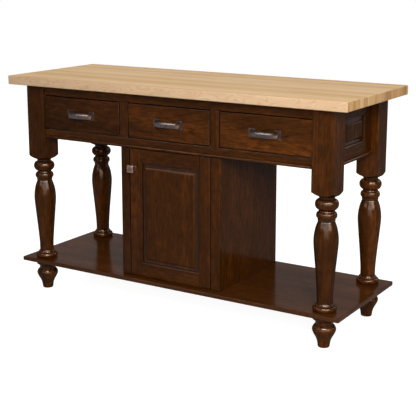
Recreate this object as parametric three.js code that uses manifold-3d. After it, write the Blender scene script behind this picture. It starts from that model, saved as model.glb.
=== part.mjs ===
// Kitchen island: a maple butcher-block top on a drawer apron, four turned legs, one long low shelf
// and a narrow cabinet in the middle. The front faces -Y, +Z is up, and the origin is on the floor
// under the middle of the top. All lengths are in millimetres.
import * as THREE from 'three';
import { mergeVertices } from 'three/addons/utils/BufferGeometryUtils.js';
import Module from 'manifold-3d';

const wasm = await Module();
wasm.setup();

// Top
const TOP_LENGTH = 1520;
const TOP_DEPTH = 560;
const TOP_THICKNESS = 36;
const TOP_EDGE_RADIUS = 3;
const WORK_HEIGHT = 914;
const END_OVERHANG = 64;
const FRONT_OVERHANG = 43;

// Legs and feet
const LEG_SIDE = 84;
const POST_HEIGHT = 302;
const FOOT_HEIGHT = 121;
const LEG_TENON_RADIUS = 12.5;
const LEG_TENON_DEPTH = 35;

// Low shelf
const SHELF_THICKNESS = 17;
const SHELF_EDGE_RADIUS = 2;
const SHELF_END_PROJECTION = 41;
const SHELF_FRONT_PROJECTION = 18;

// Apron
const APRON_HEIGHT = 218;
const TOP_RAIL_HEIGHT = 39.5;
const BOTTOM_RAIL_HEIGHT = 27;
const RAIL_THICKNESS = 19;
const FRONT_RECESS = 6;
const END_RECESS = 26;
const MULLION_WIDTH = 39;
const BEAD_HEIGHT = 12;
const FRONT_BEAD_PROJECTION = 5;
const END_BEAD_PROJECTION = 9;
const BEAD_END_SPACE = 5;
const TENON_LENGTH = 15;
const TENON_THICKNESS = 9;
const TENON_SHOULDER = 6;

// Framed panels of the apron and the door
const END_FRAME_STILE = 60;
const FRAME_TOP_RAIL = 54;
const FRAME_BOTTOM_RAIL = 42;
const STICKING_WIDTH = 7;
const STICKING_DEPTH = 8;
const PANEL_BEVEL = 18.5;
const PANEL_BEVEL_RISE = 5;
const PANEL_STEP = 2;
const PANEL_TONGUE = 5;
const GROOVE_DEPTH = 7;

// Drawers
const DRAWER_GAP = 3;
const FRONT_EDGE_RADIUS = 1.5;
const BOX_WALL = 12;
const BOX_HEIGHT = 104;
const BOX_REAR_SPACE = 34;
const BOX_SIDE_CLEARANCE = 1.5;
const BOX_BOTTOM_THICKNESS = 6;
const BOX_BOTTOM_LIFT = 10;
const BOX_GROOVE_DEPTH = 5;
const RUNNER_THICKNESS = 18;
const RUNNER_LEDGE = 22;
const GUIDE_PROJECTION = 2;
const GUIDE_HEIGHT = 20;
const PARTITION_WEB = 19;
const KICKER_THICKNESS = 18;
const KICKER_CLEARANCE = 2.5;

// Cabinet
const CABINET_WIDTH = 456;
const CABINET_SETBACK = 6;
const CABINET_BACK_SETBACK = 5;
const CABINET_SIDE_THICKNESS = 18;
const CABINET_STILE_THICKNESS = 19;
const CABINET_BACK_THICKNESS = 12;
const INNER_SHELF_THICKNESS = 18;
const INNER_SHELF_SETBACK = 25;
const INNER_SHELF_SHARE = 0.5;
const HOUSING_DEPTH = 6;

// Door
const DOOR_THICKNESS = 20;
const DOOR_GAP = 3;
const DOOR_STILE = 48.5;
const DOOR_RAIL = 50;
const PIVOT_INSET = 8;
const PIVOT_DEPTH = 7;
const PIVOT_PIN_RADIUS = 2.5;
const PIVOT_PIN_LENGTH = 12;
const PIVOT_PLATE_THICKNESS = 2;
const PIVOT_PLATE_WIDTH = 10;
const PIVOT_PLATE_LENGTH = 38;
const HINGE_CORNER_RADIUS = 2;
const CATCH_LENGTH = 40;
const CATCH_DEPTH = 14;
const CATCH_HEIGHT = 12;
const CATCH_SHARE = 0.9;

// Drawer pulls and door knob
const PULL_LENGTH = 132;
const PULL_PROJECTION = 27;
const PULL_PLATE_WIDTH = 27;
const PULL_PLATE_HEIGHT = 33;
const PULL_PLATE_THICKNESS = 2.5;
const PULL_BAR_HEIGHT = 25;
const PULL_BAR_THICKNESS = 6;
const PULL_BAR_INSET = 6;
const PULL_EDGE_RADIUS = 1.5;
const PULL_ARCH_POWER_SHARE = 0.78;
const KNOB_SIDE = 30;
const KNOB_BASE_SIDE = 22;
const KNOB_BASE_THICKNESS = 3;
const KNOB_NECK_SIDE = 13;
const KNOB_PROJECTION = 30;
const KNOB_HEAD_THICKNESS = 8;
const KNOB_CROWN = 2.5;
const KNOB_BELOW_DOOR_TOP = 77;
const KNOB_FROM_DOOR_EDGE = 20;

// Clearances: fixed joints, faces that run past each other, pins in their sockets, and one overrun for cuts
const JOINT_GAP = 0.3;
const PIN_CLEARANCE = 0.1;
const CUT_OVERRUN = 1;

// Facets of round forms
const TURNED_SIDES = 20;
const PIN_SIDES = 16;
const ARC_STEPS = 3;
const ARCH_STEPS = 14;
const VASE_STEPS = 10;
const FOOT_STEPS = 6;

// Places worked out from the sizes
const CASE_TOP = WORK_HEIGHT - TOP_THICKNESS;
const APRON_BOTTOM = CASE_TOP - APRON_HEIGHT;
const RAIL_BOTTOM = APRON_BOTTOM + BEAD_HEIGHT;
const OPENING_BOTTOM = RAIL_BOTTOM + BOTTOM_RAIL_HEIGHT;
const OPENING_TOP = CASE_TOP - TOP_RAIL_HEIGHT;
const SHELF_TOP = FOOT_HEIGHT + SHELF_THICKNESS;
const POST_BOTTOM = CASE_TOP - POST_HEIGHT;
const LEG_HALF = LEG_SIDE / 2;
const LEG_X = TOP_LENGTH / 2 - END_OVERHANG - LEG_HALF;
const LEG_Y = TOP_DEPTH / 2 - FRONT_OVERHANG - LEG_HALF;
const LEG_INNER_X = LEG_X - LEG_HALF;
const LEG_INNER_Y = LEG_Y - LEG_HALF;
const FRONT_FACE = -(LEG_Y + LEG_HALF) + FRONT_RECESS;
const RAIL_BACK = FRONT_FACE + RAIL_THICKNESS;
const END_FACE = LEG_X + LEG_HALF - END_RECESS;
const END_INNER = END_FACE - RAIL_THICKNESS;
const CABINET_HALF = CABINET_WIDTH / 2;
const CABINET_FRONT = FRONT_FACE + CABINET_SETBACK;
const CABINET_BACK_Y = -FRONT_FACE - CABINET_BACK_SETBACK;
const CENTRE_HALF = CABINET_HALF - MULLION_WIDTH;
const MULLION_X = CABINET_HALF - MULLION_WIDTH / 2;
const CABINET_INNER_X = CABINET_HALF - CABINET_SIDE_THICKNESS;

// Finishes
const finish = (color, roughness, metalness = 0) => (
  new THREE.MeshStandardMaterial({ color, roughness, metalness }));
const MAPLE = finish(0xd9b27c, 0.45);
const STAINED_WOOD = finish(0x40230f, 0.4);
const DRAWER_WOOD = finish(0xd8bd92, 0.55);
const BRONZE = finish(0x4d4644, 0.35, 0.9);
const STEEL = finish(0x8d8f92, 0.35, 0.9);

const island = new THREE.Group();

// Puts a finished solid into a group of the island under its own name
function place(name, shape, material, x = 0, y = 0, z = 0, group = island) {
  const { vertProperties, triVerts } = shape.getMesh();
  const geometry = new THREE.BufferGeometry();
  geometry.setAttribute('position', new THREE.BufferAttribute(vertProperties, 3));
  geometry.setIndex(new THREE.BufferAttribute(triVerts, 1));
  geometry.computeVertexNormals();
  const mesh = new THREE.Mesh(geometry, material);
  mesh.name = name;
  mesh.position.set(x, y, z);
  group.add(mesh);
  return mesh;
}

// Merges shared corners and drops the empty triangles at an axis, so that joins and cuts can work on it
function solid(geometry) {
  geometry.deleteAttribute('normal');
  geometry.deleteAttribute('uv');
  const merged = mergeVertices(geometry);
  const index = Array.from(merged.index.array);
  const kept = [];
  for (let i = 0; i < index.length; i += 3) {
    const corners = index.slice(i, i + 3);
    if (new Set(corners).size === 3) kept.push(...corners);
  }
  return new wasm.Manifold(new wasm.Mesh({
    numProp: 3,
    vertProperties: merged.attributes.position.array,
    triVerts: Uint32Array.from(kept),
  }));
}

// A square-edged block between two values on each axis
function block([x0, x1], [y0, y1], [z0, z1]) {
  const geometry = new THREE.BoxGeometry(x1 - x0, y1 - y0, z1 - z0);
  geometry.translate((x0 + x1) / 2, (y0 + y1) / 2, (z0 + z1) / 2);
  return solid(geometry);
}

// A block whose edges are all rounded over by the same radius
function easedBlock([x0, x1], [y0, y1], [z0, z1], radius) {
  const geometry = new THREE.ExtrudeGeometry(rectangle([x0 + radius, x1 - radius], [z0 + radius, z1 - radius]), {
    depth: y1 - y0 - 2 * radius,
    bevelThickness: radius,
    bevelSize: radius,
    bevelSegments: 2,
  });
  geometry.applyMatrix4(ALONG_Y);
  geometry.translate(0, y1 - radius, 0);
  return solid(geometry);
}

function rectangle([a0, a1], [b0, b1]) {
  return new THREE.Shape([
    new THREE.Vector2(a0, b0), new THREE.Vector2(a1, b0),
    new THREE.Vector2(a1, b1), new THREE.Vector2(a0, b1),
  ]);
}

const X_AXIS = new THREE.Vector3(1, 0, 0);
const Y_AXIS = new THREE.Vector3(0, 1, 0);
const Z_AXIS = new THREE.Vector3(0, 0, 1);
const ALONG_X = new THREE.Matrix4().makeBasis(Y_AXIS, Z_AXIS, X_AXIS);
const ALONG_Y = new THREE.Matrix4().makeBasis(X_AXIS, Z_AXIS, Y_AXIS.clone().negate());

// A section drawn in Y and Z, carried along X from x0 to x1
function alongX(outline, [x0, x1]) {
  const geometry = new THREE.ExtrudeGeometry(new THREE.Shape(outline), { depth: x1 - x0, bevelEnabled: false });
  geometry.applyMatrix4(ALONG_X);
  geometry.translate(x0, 0, 0);
  return solid(geometry);
}

// A section drawn in X and Z, carried along Y from y0 to y1
function alongY(outline, [y0, y1]) {
  const geometry = new THREE.ExtrudeGeometry(new THREE.Shape(outline), { depth: y1 - y0, bevelEnabled: false });
  geometry.applyMatrix4(ALONG_Y);
  geometry.translate(0, y1, 0);
  return solid(geometry);
}

const points = (pairs) => pairs.map(([a, b]) => new THREE.Vector2(a, b));

// A solid of revolution about Z from an outline of radius and height that starts and ends on the axis
function turned(outline, sides = TURNED_SIDES) {
  const geometry = new THREE.LatheGeometry(outline, sides);
  geometry.rotateX(Math.PI / 2);
  return solid(geometry);
}

// An upright round rod at a place
function rod(radius, x, y, [z0, z1], sides = PIN_SIDES) {
  const geometry = new THREE.CylinderGeometry(radius, radius, z1 - z0, sides);
  geometry.rotateX(Math.PI / 2);
  geometry.translate(x, y, (z0 + z1) / 2);
  return solid(geometry);
}

// Turned outlines climb from the bottom of the piece. Each cut goes from the last point to its own height
// and radius, both as shares: heights of the turned length, radii and bulges of half the leg's side.
const quarter = (steps, at) => (
  Array.from({ length: steps }, (_, i) => at((i + 1) / steps * Math.PI / 2)));

const CUTS = {
  line: (from, to) => [to],
  // leaves level and ends upright: a cove where it narrows, a dome where it widens
  sweep: (from, to) => quarter(ARC_STEPS, (a) => new THREE.Vector2(
    from.x + (to.x - from.x) * Math.sin(a), from.y + (to.y - from.y) * (1 - Math.cos(a)))),
  // leaves upright and ends level: a cove where it widens, a round shoulder where it narrows
  rise: (from, to) => quarter(ARC_STEPS, (a) => new THREE.Vector2(
    from.x + (to.x - from.x) * (1 - Math.cos(a)), from.y + (to.y - from.y) * Math.sin(a))),
  // a half-round that stands out from the straight line between its ends
  bead: (from, to, bulge) => quarter(2 * ARC_STEPS, (a) => {
    const along = (1 - Math.cos(2 * a)) / 2;
    return from.clone().lerp(to, along).add(new THREE.Vector2(bulge * Math.sin(2 * a), 0));
  }),
};

function turnedOutline(shares, length) {
  const outline = [new THREE.Vector2(0, 0)];
  for (const [cut, height, radius, bulge = 0] of shares) {
    const from = outline.at(-1);
    const to = new THREE.Vector2(radius * LEG_HALF, height * length);
    outline.push(...CUTS[cut](from, to, bulge * LEG_HALF));
  }
  outline.push(new THREE.Vector2(0, outline.at(-1).y));
  return outline;
}

// The swelling of a vase: a smooth curve through a few heights and radii, also as shares
function curveShares(shares, steps) {
  const curve = new THREE.SplineCurve(points(shares));
  return curve.getPoints(steps).map(({ x, y }) => ['line', x, y]);
}

const VASE_SHARES = [
  [0.072, 0.66], [0.135, 0.665], [0.205, 0.71], [0.335, 0.812], [0.466, 0.938],
  [0.603, 1.04], [0.7, 0.91], [0.762, 0.69],
];
const LEG_TURNING_SHARES = [
  ['line', 0, 0.89],
  ['bead', 0.0445, 0.89, 0.13],
  ['line', 0.0445, 0.865],
  ['line', 0.049, 0.865],
  ['sweep', 0.072, 0.66],
  ...curveShares(VASE_SHARES, VASE_STEPS),
  ['line', 0.768, 0.735],
  ['line', 0.783, 0.735],
  ['line', 0.79, 0.76],
  ['bead', 0.838, 0.72, 0.125],
  ['line', 0.838, 0.69],
  ['rise', 0.854, 0.59],
  ['line', 0.857, 0.59],
  ['bead', 0.947, 0.64, 0.37],
  ['line', 0.968, 0.667],
];
const DOME_SHARES = [
  [0.968, 0.667], [0.978, 0.905], [0.989, 1.12], [1, 1.286], [1.011, 1.43],
];
const FOOT_CURVE_SHARES = [
  [0.05, 0.51], [0.18, 0.565], [0.3, 0.68], [0.415, 0.86], [0.49, 0.96],
  [0.57, 1.012], [0.645, 0.945], [0.705, 0.815],
];
const FOOT_TURNING_SHARES = [
  ['line', 0, 0.43],
  ['sweep', 0.04, 0.51],
  ...curveShares(FOOT_CURVE_SHARES, FOOT_STEPS),
  ['line', 0.71, 0.775],
  ['line', 0.73, 0.775],
  ['line', 0.745, 0.73],
  ['rise', 0.885, 0.98],
  ['line', 0.9, 1.007],
  ['line', 1, 1.007],
];

// The four corners that repeat round the island: name, side along X and side along Y
const CORNERS = [
  ['front_left', -1, -1], ['front_right', 1, -1], ['back_left', -1, 1], ['back_right', 1, 1],
];

// Rails and frames end in tenons. A tenon is given as a block in the leg's own frame, with its leg at 0, 0:
// the rail tenons enter the leg's inner end face, the end-frame tenon its inner long face.
const RAIL_OFFSET = LEG_HALF - FRONT_RECESS - RAIL_THICKNESS / 2;
const END_OFFSET = LEG_HALF - END_RECESS - RAIL_THICKNESS / 2;
const RAIL_SPANS = {
  top: [OPENING_TOP, CASE_TOP - JOINT_GAP],
  bottom: [RAIL_BOTTOM, OPENING_BOTTOM],
  whole: [RAIL_BOTTOM, CASE_TOP - JOINT_GAP],
};
const signed = (side, near, far) => [side * near, side * far].sort((a, b) => a - b);
const tenonHeight = ([z0, z1], grow) => [z0 + TENON_SHOULDER - grow, z1 - TENON_SHOULDER + grow];

function railTenon(sideX, sideY, span, grow = 0) {
  const half = TENON_THICKNESS / 2 + grow;
  return block(
    signed(-sideX, LEG_HALF - TENON_LENGTH - grow, LEG_HALF + CUT_OVERRUN),
    signed(sideY, RAIL_OFFSET - half, RAIL_OFFSET + half),
    tenonHeight(span, grow));
}

function endTenon(sideX, sideY, span, grow = 0) {
  const half = TENON_THICKNESS / 2 + grow;
  return block(
    signed(sideX, END_OFFSET - half, END_OFFSET + half),
    signed(-sideY, LEG_HALF - TENON_LENGTH - grow, LEG_HALF + CUT_OVERRUN),
    tenonHeight(span, grow));
}

// Legs: the square post ends below in a dome cut by its four faces, then the turned part, then a round tenon
const LEG_BASE = SHELF_TOP + JOINT_GAP;
const TURNING_LENGTH = POST_BOTTOM - LEG_BASE;
const LEG_LENGTH = CASE_TOP - JOINT_GAP - LEG_BASE;

function legShape(sideX, sideY) {
  const domeCurve = DOME_SHARES.map(([height, radius]) => (
    new THREE.Vector2(radius * LEG_HALF, height * TURNING_LENGTH)));
  const domeStart = domeCurve[0].y;
  const dome = turned([
    new THREE.Vector2(0, domeStart), ...domeCurve,
    new THREE.Vector2(domeCurve.at(-1).x, LEG_LENGTH), new THREE.Vector2(0, LEG_LENGTH),
  ]);
  const spindle = turned(turnedOutline(LEG_TURNING_SHARES, TURNING_LENGTH));
  const post = block([-LEG_HALF, LEG_HALF], [-LEG_HALF, LEG_HALF],
    [domeStart - CUT_OVERRUN, LEG_LENGTH + CUT_OVERRUN]);
  const tenon = rod(LEG_TENON_RADIUS, 0, 0, [-SHELF_THICKNESS - LEG_TENON_DEPTH, CUT_OVERRUN]);
  const local = ([z0, z1]) => [z0 - LEG_BASE, z1 - LEG_BASE];
  let leg = post.intersect(dome).add(spindle).add(tenon)
    .subtract(endTenon(sideX, sideY, local(RAIL_SPANS.whole), JOINT_GAP));
  const spans = sideY < 0 ? [RAIL_SPANS.top, RAIL_SPANS.bottom] : [RAIL_SPANS.whole];
  for (const span of spans) leg = leg.subtract(railTenon(sideX, sideY, local(span), JOINT_GAP));
  return leg;
}

function footShape() {
  const top = FOOT_HEIGHT - JOINT_GAP;
  const socket = rod(LEG_TENON_RADIUS + JOINT_GAP, 0, 0,
    [top - LEG_TENON_DEPTH - JOINT_GAP, top + CUT_OVERRUN]);
  return turned(turnedOutline(FOOT_TURNING_SHARES, top)).subtract(socket);
}

for (const [corner, sideX, sideY] of CORNERS) {
  place(`${corner}_leg`, legShape(sideX, sideY), STAINED_WOOD, sideX * LEG_X, sideY * LEG_Y, LEG_BASE);
  place(`${corner}_foot`, footShape(), STAINED_WOOD, sideX * LEG_X, sideY * LEG_Y, 0);
}

// Top: one glued slab with its edges rounded over
place('butcher_block_top', easedBlock(
  [-TOP_LENGTH / 2, TOP_LENGTH / 2],
  [-TOP_DEPTH / 2, TOP_DEPTH / 2],
  [CASE_TOP, WORK_HEIGHT], TOP_EDGE_RADIUS), MAPLE);

// Low shelf with a round hole for each leg's tenon
const shelfX = LEG_X + LEG_HALF + SHELF_END_PROJECTION;
const shelfY = LEG_Y + LEG_HALF + SHELF_FRONT_PROJECTION;
let shelf = easedBlock([-shelfX, shelfX], [-shelfY, shelfY],
  [FOOT_HEIGHT, SHELF_TOP], SHELF_EDGE_RADIUS);
for (const [, sideX, sideY] of CORNERS) {
  shelf = shelf.subtract(rod(LEG_TENON_RADIUS + JOINT_GAP, sideX * LEG_X, sideY * LEG_Y,
    [FOOT_HEIGHT - CUT_OVERRUN, SHELF_TOP + CUT_OVERRUN]));
}
place('bottom_shelf', shelf, STAINED_WOOD);

// Framed panels. A window is its four edges in X and Z, and a moulded edge runs round it, mitred at the
// corners. The points of its section are pairs of inset into the window and depth behind the face.
const STICKING_SHARES = [
  [0, 0], [0.12, 0], [0.12, 0.12], [0.45, 0.2], [0.8, 0.42], [1, 0.62], [1, 1], [0, 1],
];

function windowCorner({ x, z }, inset, corner) {
  const right = corner === 1 || corner === 2;
  const upper = corner >= 2;
  return [right ? x[1] - inset : x[0] + inset, upper ? z[1] - inset : z[0] + inset];
}

// One stick of moulding: side 0 is the lower one, then right, upper and left
function sticking(window, side, gap = 0) {
  const section = STICKING_SHARES.map(([inset, depth]) => [
    inset === 0 ? -CUT_OVERRUN : inset * STICKING_WIDTH, depth * STICKING_DEPTH]);
  const ends = [side, (side + 1) % 4].map((corner, end) => section.map(([inset, depth]) => {
    const [x, z] = windowCorner(window, inset, corner);
    const shift = (end === 0 ? gap : -gap) * (side >= 2 ? -1 : 1);
    return side % 2 === 0
      ? new THREE.Vector3(x + shift, depth, z)
      : new THREE.Vector3(x, depth, z + shift);
  }));
  return prism(points(section), ends);
}

// The solid between two placings of one section
function prism(section, [start, end]) {
  const count = section.length;
  const caps = THREE.ShapeUtils.triangulateShape(section, []);
  const index = [];
  for (let i = 0; i < count; i += 1) {
    const j = (i + 1) % count;
    index.push(i, j, count + j, i, count + j, count + i);
  }
  for (const [a, b, c] of caps) index.push(a, c, b, count + a, count + b, count + c);
  const geometry = new THREE.BufferGeometry().setFromPoints([...start, ...end]);
  geometry.setIndex(index);
  const shape = solid(geometry);
  if (shape.volume() > 0) return shape;
  geometry.setIndex(index.reverse());
  return solid(geometry);
}

// A flat frame that faces -Y with its face at 0, pierced by windows with a moulded edge and a panel groove
const tongueFront = STICKING_DEPTH + JOINT_GAP;
const tongueBack = tongueFront + PANEL_TONGUE;
const grown = ([a, b], by) => [a - by, b + by];

function panelGroove({ x, z }) {
  return block(grown(x, GROOVE_DEPTH + JOINT_GAP), [STICKING_DEPTH, tongueBack + JOINT_GAP],
    grown(z, GROOVE_DEPTH + JOINT_GAP));
}

function panelFrame([x0, x1], [z0, z1], windows) {
  let frame = block([x0, x1], [0, RAIL_THICKNESS], [z0, z1]);
  for (const window of windows) {
    const { x, z } = window;
    frame = frame.subtract(block(x, [-CUT_OVERRUN, RAIL_THICKNESS + CUT_OVERRUN], z));
    for (const side of [0, 1, 2, 3]) frame = frame.add(sticking(window, side));
    frame = frame.subtract(panelGroove(window));
  }
  return frame;
}

// A raised panel for a window: its tongue lies in the groove, and a bevel and a step climb to the field
function raisedPanel(window) {
  const edge = -GROOVE_DEPTH;
  const bevelStart = STICKING_WIDTH;
  const field = STICKING_WIDTH + PANEL_BEVEL;
  const section = [
    [edge, tongueBack], [edge, tongueFront], [bevelStart, tongueFront],
    [field, tongueFront - PANEL_BEVEL_RISE], [field, tongueFront - PANEL_BEVEL_RISE - PANEL_STEP],
  ];
  const rings = section.map(([inset, depth]) => [0, 1, 2, 3].map((corner) => {
    const [x, z] = windowCorner(window, inset, corner);
    return new THREE.Vector3(x, depth, z);
  }));
  const index = [0, 2, 1, 0, 3, 2];
  for (let ring = 0; ring + 1 < rings.length; ring += 1) {
    for (let corner = 0; corner < 4; corner += 1) {
      const a = ring * 4 + corner;
      const b = ring * 4 + (corner + 1) % 4;
      index.push(a, b, b + 4, a, b + 4, a + 4);
    }
  }
  const last = (rings.length - 1) * 4;
  index.push(last, last + 1, last + 2, last, last + 2, last + 3);
  const geometry = new THREE.BufferGeometry().setFromPoints(rings.flat());
  geometry.setIndex(index);
  const shape = solid(geometry);
  if (shape.volume() > 0) return shape;
  geometry.setIndex(index.reverse());
  return solid(geometry);
}

// Front of the apron: two rails tenoned into the legs, and a mullion each side of the middle drawer
function frontRail(span) {
  const inner = LEG_INNER_X - JOINT_GAP;
  let rail = block([-inner, inner], [FRONT_FACE, RAIL_BACK], span);
  for (const sideX of [-1, 1]) {
    const tenon = railTenon(sideX, -1, span);
    rail = rail.add(tenon.translate([sideX * LEG_X, -LEG_Y, 0]));
  }
  return rail;
}

place('front_top_rail', frontRail(RAIL_SPANS.top), STAINED_WOOD);
place('front_bottom_rail', frontRail(RAIL_SPANS.bottom), STAINED_WOOD);
for (const [side, sign] of [['left', -1], ['right', 1]]) {
  const mullion = block([-MULLION_WIDTH / 2, MULLION_WIDTH / 2], [FRONT_FACE, RAIL_BACK],
    [OPENING_BOTTOM + JOINT_GAP, OPENING_TOP - JOINT_GAP]);
  place(`${side}_mullion`, mullion, STAINED_WOOD, sign * MULLION_X, 0, 0);
}

// Ends of the apron: one framed panel each, tenoned into the front and back legs
const frameWindowZ = [RAIL_BOTTOM + FRAME_BOTTOM_RAIL, CASE_TOP - FRAME_TOP_RAIL];
const endWindow = {
  x: [-(LEG_INNER_Y - END_FRAME_STILE), LEG_INNER_Y - END_FRAME_STILE],
  z: frameWindowZ,
};

function endFrame() {
  const inner = LEG_INNER_Y - JOINT_GAP;
  const half = TENON_THICKNESS / 2;
  const middle = RAIL_THICKNESS / 2;
  let frame = panelFrame([-inner, inner], RAIL_SPANS.whole, [endWindow]);
  for (const side of [-1, 1]) {
    frame = frame.add(block(
      signed(side, inner - CUT_OVERRUN, LEG_INNER_Y + TENON_LENGTH),
      [middle - half, middle + half], tenonHeight(RAIL_SPANS.whole, 0)));
  }
  return frame;
}

for (const [side, sign] of [['left', -1], ['right', 1]]) {
  const frame = place(`${side}_end_frame`, endFrame(), STAINED_WOOD, sign * END_FACE);
  const panel = place(`${side}_end_panel`, raisedPanel(endWindow), STAINED_WOOD, sign * END_FACE);
  frame.rotation.z = sign * Math.PI / 2;
  panel.rotation.z = sign * Math.PI / 2;
}

// Back of the apron: one long frame with three raised panels that stand behind the three drawers
const backWindows = [
  ['left', -LEG_INNER_X + MULLION_WIDTH, -CABINET_HALF],
  ['middle', -CENTRE_HALF, CENTRE_HALF],
  ['right', CABINET_HALF, LEG_INNER_X - MULLION_WIDTH],
].map(([name, x0, x1]) => ({ name, x: [x0, x1], z: frameWindowZ }));

function backFrame() {
  const inner = LEG_INNER_X - JOINT_GAP;
  const half = TENON_THICKNESS / 2;
  const middle = RAIL_THICKNESS / 2;
  let frame = panelFrame([-inner, inner], RAIL_SPANS.whole, backWindows);
  for (const side of [-1, 1]) {
    frame = frame.add(block(
      signed(side, inner - CUT_OVERRUN, LEG_INNER_X + TENON_LENGTH),
      [middle - half, middle + half], tenonHeight(RAIL_SPANS.whole, 0)));
  }
  return frame;
}

place('back_frame', backFrame(), STAINED_WOOD, 0, -FRONT_FACE).rotation.z = Math.PI;
for (const window of backWindows) {
  const panel = place(`back_${window.name}_panel`, raisedPanel(window), STAINED_WOOD, 0, -FRONT_FACE);
  panel.rotation.z = Math.PI;
}

// Bead mouldings under the apron: a strip with a half-round nose, drawn with its back edge at 0
function beadStrip(length, depth) {
  const radius = BEAD_HEIGHT / 2;
  const nose = quarter(2 * ARC_STEPS, (a) => [
    -(depth - radius) - radius * Math.sin(2 * a), radius + radius * Math.cos(2 * a)]);
  const outline = points([[0, 0], [0, BEAD_HEIGHT], [-(depth - radius), BEAD_HEIGHT], ...nose]);
  const trim = block([-length / 2, length / 2], [-depth - CUT_OVERRUN, 0], [0, BEAD_HEIGHT - JOINT_GAP]);
  return alongX(outline, [-length / 2, length / 2]).intersect(trim);
}

const longBead = 2 * (LEG_INNER_X - BEAD_END_SPACE);
const endBead = 2 * (LEG_INNER_Y - BEAD_END_SPACE);
const longBeadDepth = RAIL_THICKNESS + FRONT_BEAD_PROJECTION;
const endBeadDepth = RAIL_THICKNESS + END_BEAD_PROJECTION;
for (const [name, length, depth, x, y, turn] of [
  ['front_bead_moulding', longBead, longBeadDepth, 0, RAIL_BACK, 0],
  ['back_bead_moulding', longBead, longBeadDepth, 0, -RAIL_BACK, Math.PI],
  ['right_bead_moulding', endBead, endBeadDepth, END_INNER, 0, Math.PI / 2],
  ['left_bead_moulding', endBead, endBeadDepth, -END_INNER, 0, -Math.PI / 2],
]) {
  place(name, beadStrip(length, depth), STAINED_WOOD, x, y, APRON_BOTTOM).rotation.z = turn;
}

// Runners: a ledge under each drawer side, a guide beside it and a kicker above it
const runnerY = [RAIL_BACK + JOINT_GAP, -RAIL_BACK - JOINT_GAP];
const runnerBottom = OPENING_BOTTOM - RUNNER_THICKNESS;
const guideTop = OPENING_BOTTOM + GUIDE_HEIGHT;
const kickerBottom = OPENING_BOTTOM + JOINT_GAP + BOX_HEIGHT + KICKER_CLEARANCE;
const kickerTop = kickerBottom + KICKER_THICKNESS;
const partitionTop = CASE_TOP - JOINT_GAP;

function partition() {
  const guide = MULLION_WIDTH / 2 + GUIDE_PROJECTION;
  const ledge = MULLION_WIDTH / 2 + RUNNER_LEDGE;
  const web = PARTITION_WEB / 2;
  const half = [
    [ledge, runnerBottom], [ledge, OPENING_BOTTOM], [guide, OPENING_BOTTOM], [guide, guideTop],
    [web, guideTop], [web, kickerBottom], [ledge, kickerBottom], [ledge, kickerTop],
    [web, kickerTop], [web, partitionTop],
  ];
  const mirrored = half.map(([x, z]) => [-x, z]).reverse();
  return alongY(points([...half, ...mirrored]), runnerY);
}

function endRunner() {
  const guide = LEG_INNER_X - GUIDE_PROJECTION;
  const ledge = LEG_INNER_X - RUNNER_LEDGE;
  const outer = END_INNER - JOINT_GAP;
  const web = outer - PARTITION_WEB;
  const legFace = LEG_INNER_X - JOINT_GAP;
  const section = points([
    [ledge, runnerBottom], [outer, runnerBottom], [outer, kickerTop], [ledge, kickerTop],
    [ledge, kickerBottom], [web, kickerBottom], [web, guideTop], [guide, guideTop],
    [guide, OPENING_BOTTOM], [ledge, OPENING_BOTTOM],
  ]);
  const between = LEG_INNER_Y - JOINT_GAP;
  const ledgePastLegs = block([ledge, legFace], runnerY, [runnerBottom, OPENING_BOTTOM]);
  return alongY(section, [-between, between]).add(ledgePastLegs);
}

for (const [side, sign] of [['left', -1], ['right', 1]]) {
  place(`${side}_drawer_partition`, partition(), DRAWER_WOOD, sign * MULLION_X);
  const runner = place(`${side}_end_runner`, endRunner(), DRAWER_WOOD);
  runner.rotation.z = sign < 0 ? Math.PI : 0;
}

// Drawers: a flush front, a box of two sides and a back, a bottom let into grooves, and a strap pull
const frontBack = RAIL_BACK;
const boxFront = frontBack + JOINT_GAP;
const boxBack = -RAIL_BACK - BOX_REAR_SPACE;
const boxBottom = OPENING_BOTTOM + JOINT_GAP;
const boxTop = boxBottom + BOX_HEIGHT;
const frontBottom = OPENING_BOTTOM + DRAWER_GAP;
const frontTop = OPENING_TOP - DRAWER_GAP;
const bottomSpan = [boxBottom + BOX_BOTTOM_LIFT, boxBottom + BOX_BOTTOM_LIFT + BOX_BOTTOM_THICKNESS];

function bottomPanel(boxHalf, grow = 0) {
  const reach = boxHalf - BOX_WALL + BOX_GROOVE_DEPTH - JOINT_GAP + grow;
  return block([-reach, reach],
    [frontBack - BOX_GROOVE_DEPTH + JOINT_GAP - grow, boxBack - BOX_WALL + BOX_GROOVE_DEPTH - JOINT_GAP + grow],
    grown(bottomSpan, grow));
}

function drawerFront(frontHalf, boxHalf) {
  return easedBlock([-frontHalf, frontHalf], [FRONT_FACE, frontBack], [frontBottom, frontTop],
    FRONT_EDGE_RADIUS).subtract(bottomPanel(boxHalf, JOINT_GAP));
}

function drawerBox(boxHalf) {
  const inner = boxHalf - BOX_WALL;
  return block([-boxHalf, boxHalf], [boxFront, boxBack], [boxBottom, boxTop])
    .subtract(block([-inner, inner], [boxFront - CUT_OVERRUN, boxBack - BOX_WALL],
      [boxBottom - CUT_OVERRUN, boxTop + CUT_OVERRUN]))
    .subtract(bottomPanel(boxHalf, JOINT_GAP));
}

// Pull: two square plates and a strap that arches out between them, seen from above as a flattened arch
const archPoint = (share, halfLength, rise) => {
  const angle = share * Math.PI;
  return [-halfLength * Math.cos(angle), -rise * Math.sin(angle) ** PULL_ARCH_POWER_SHARE];
};

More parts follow.
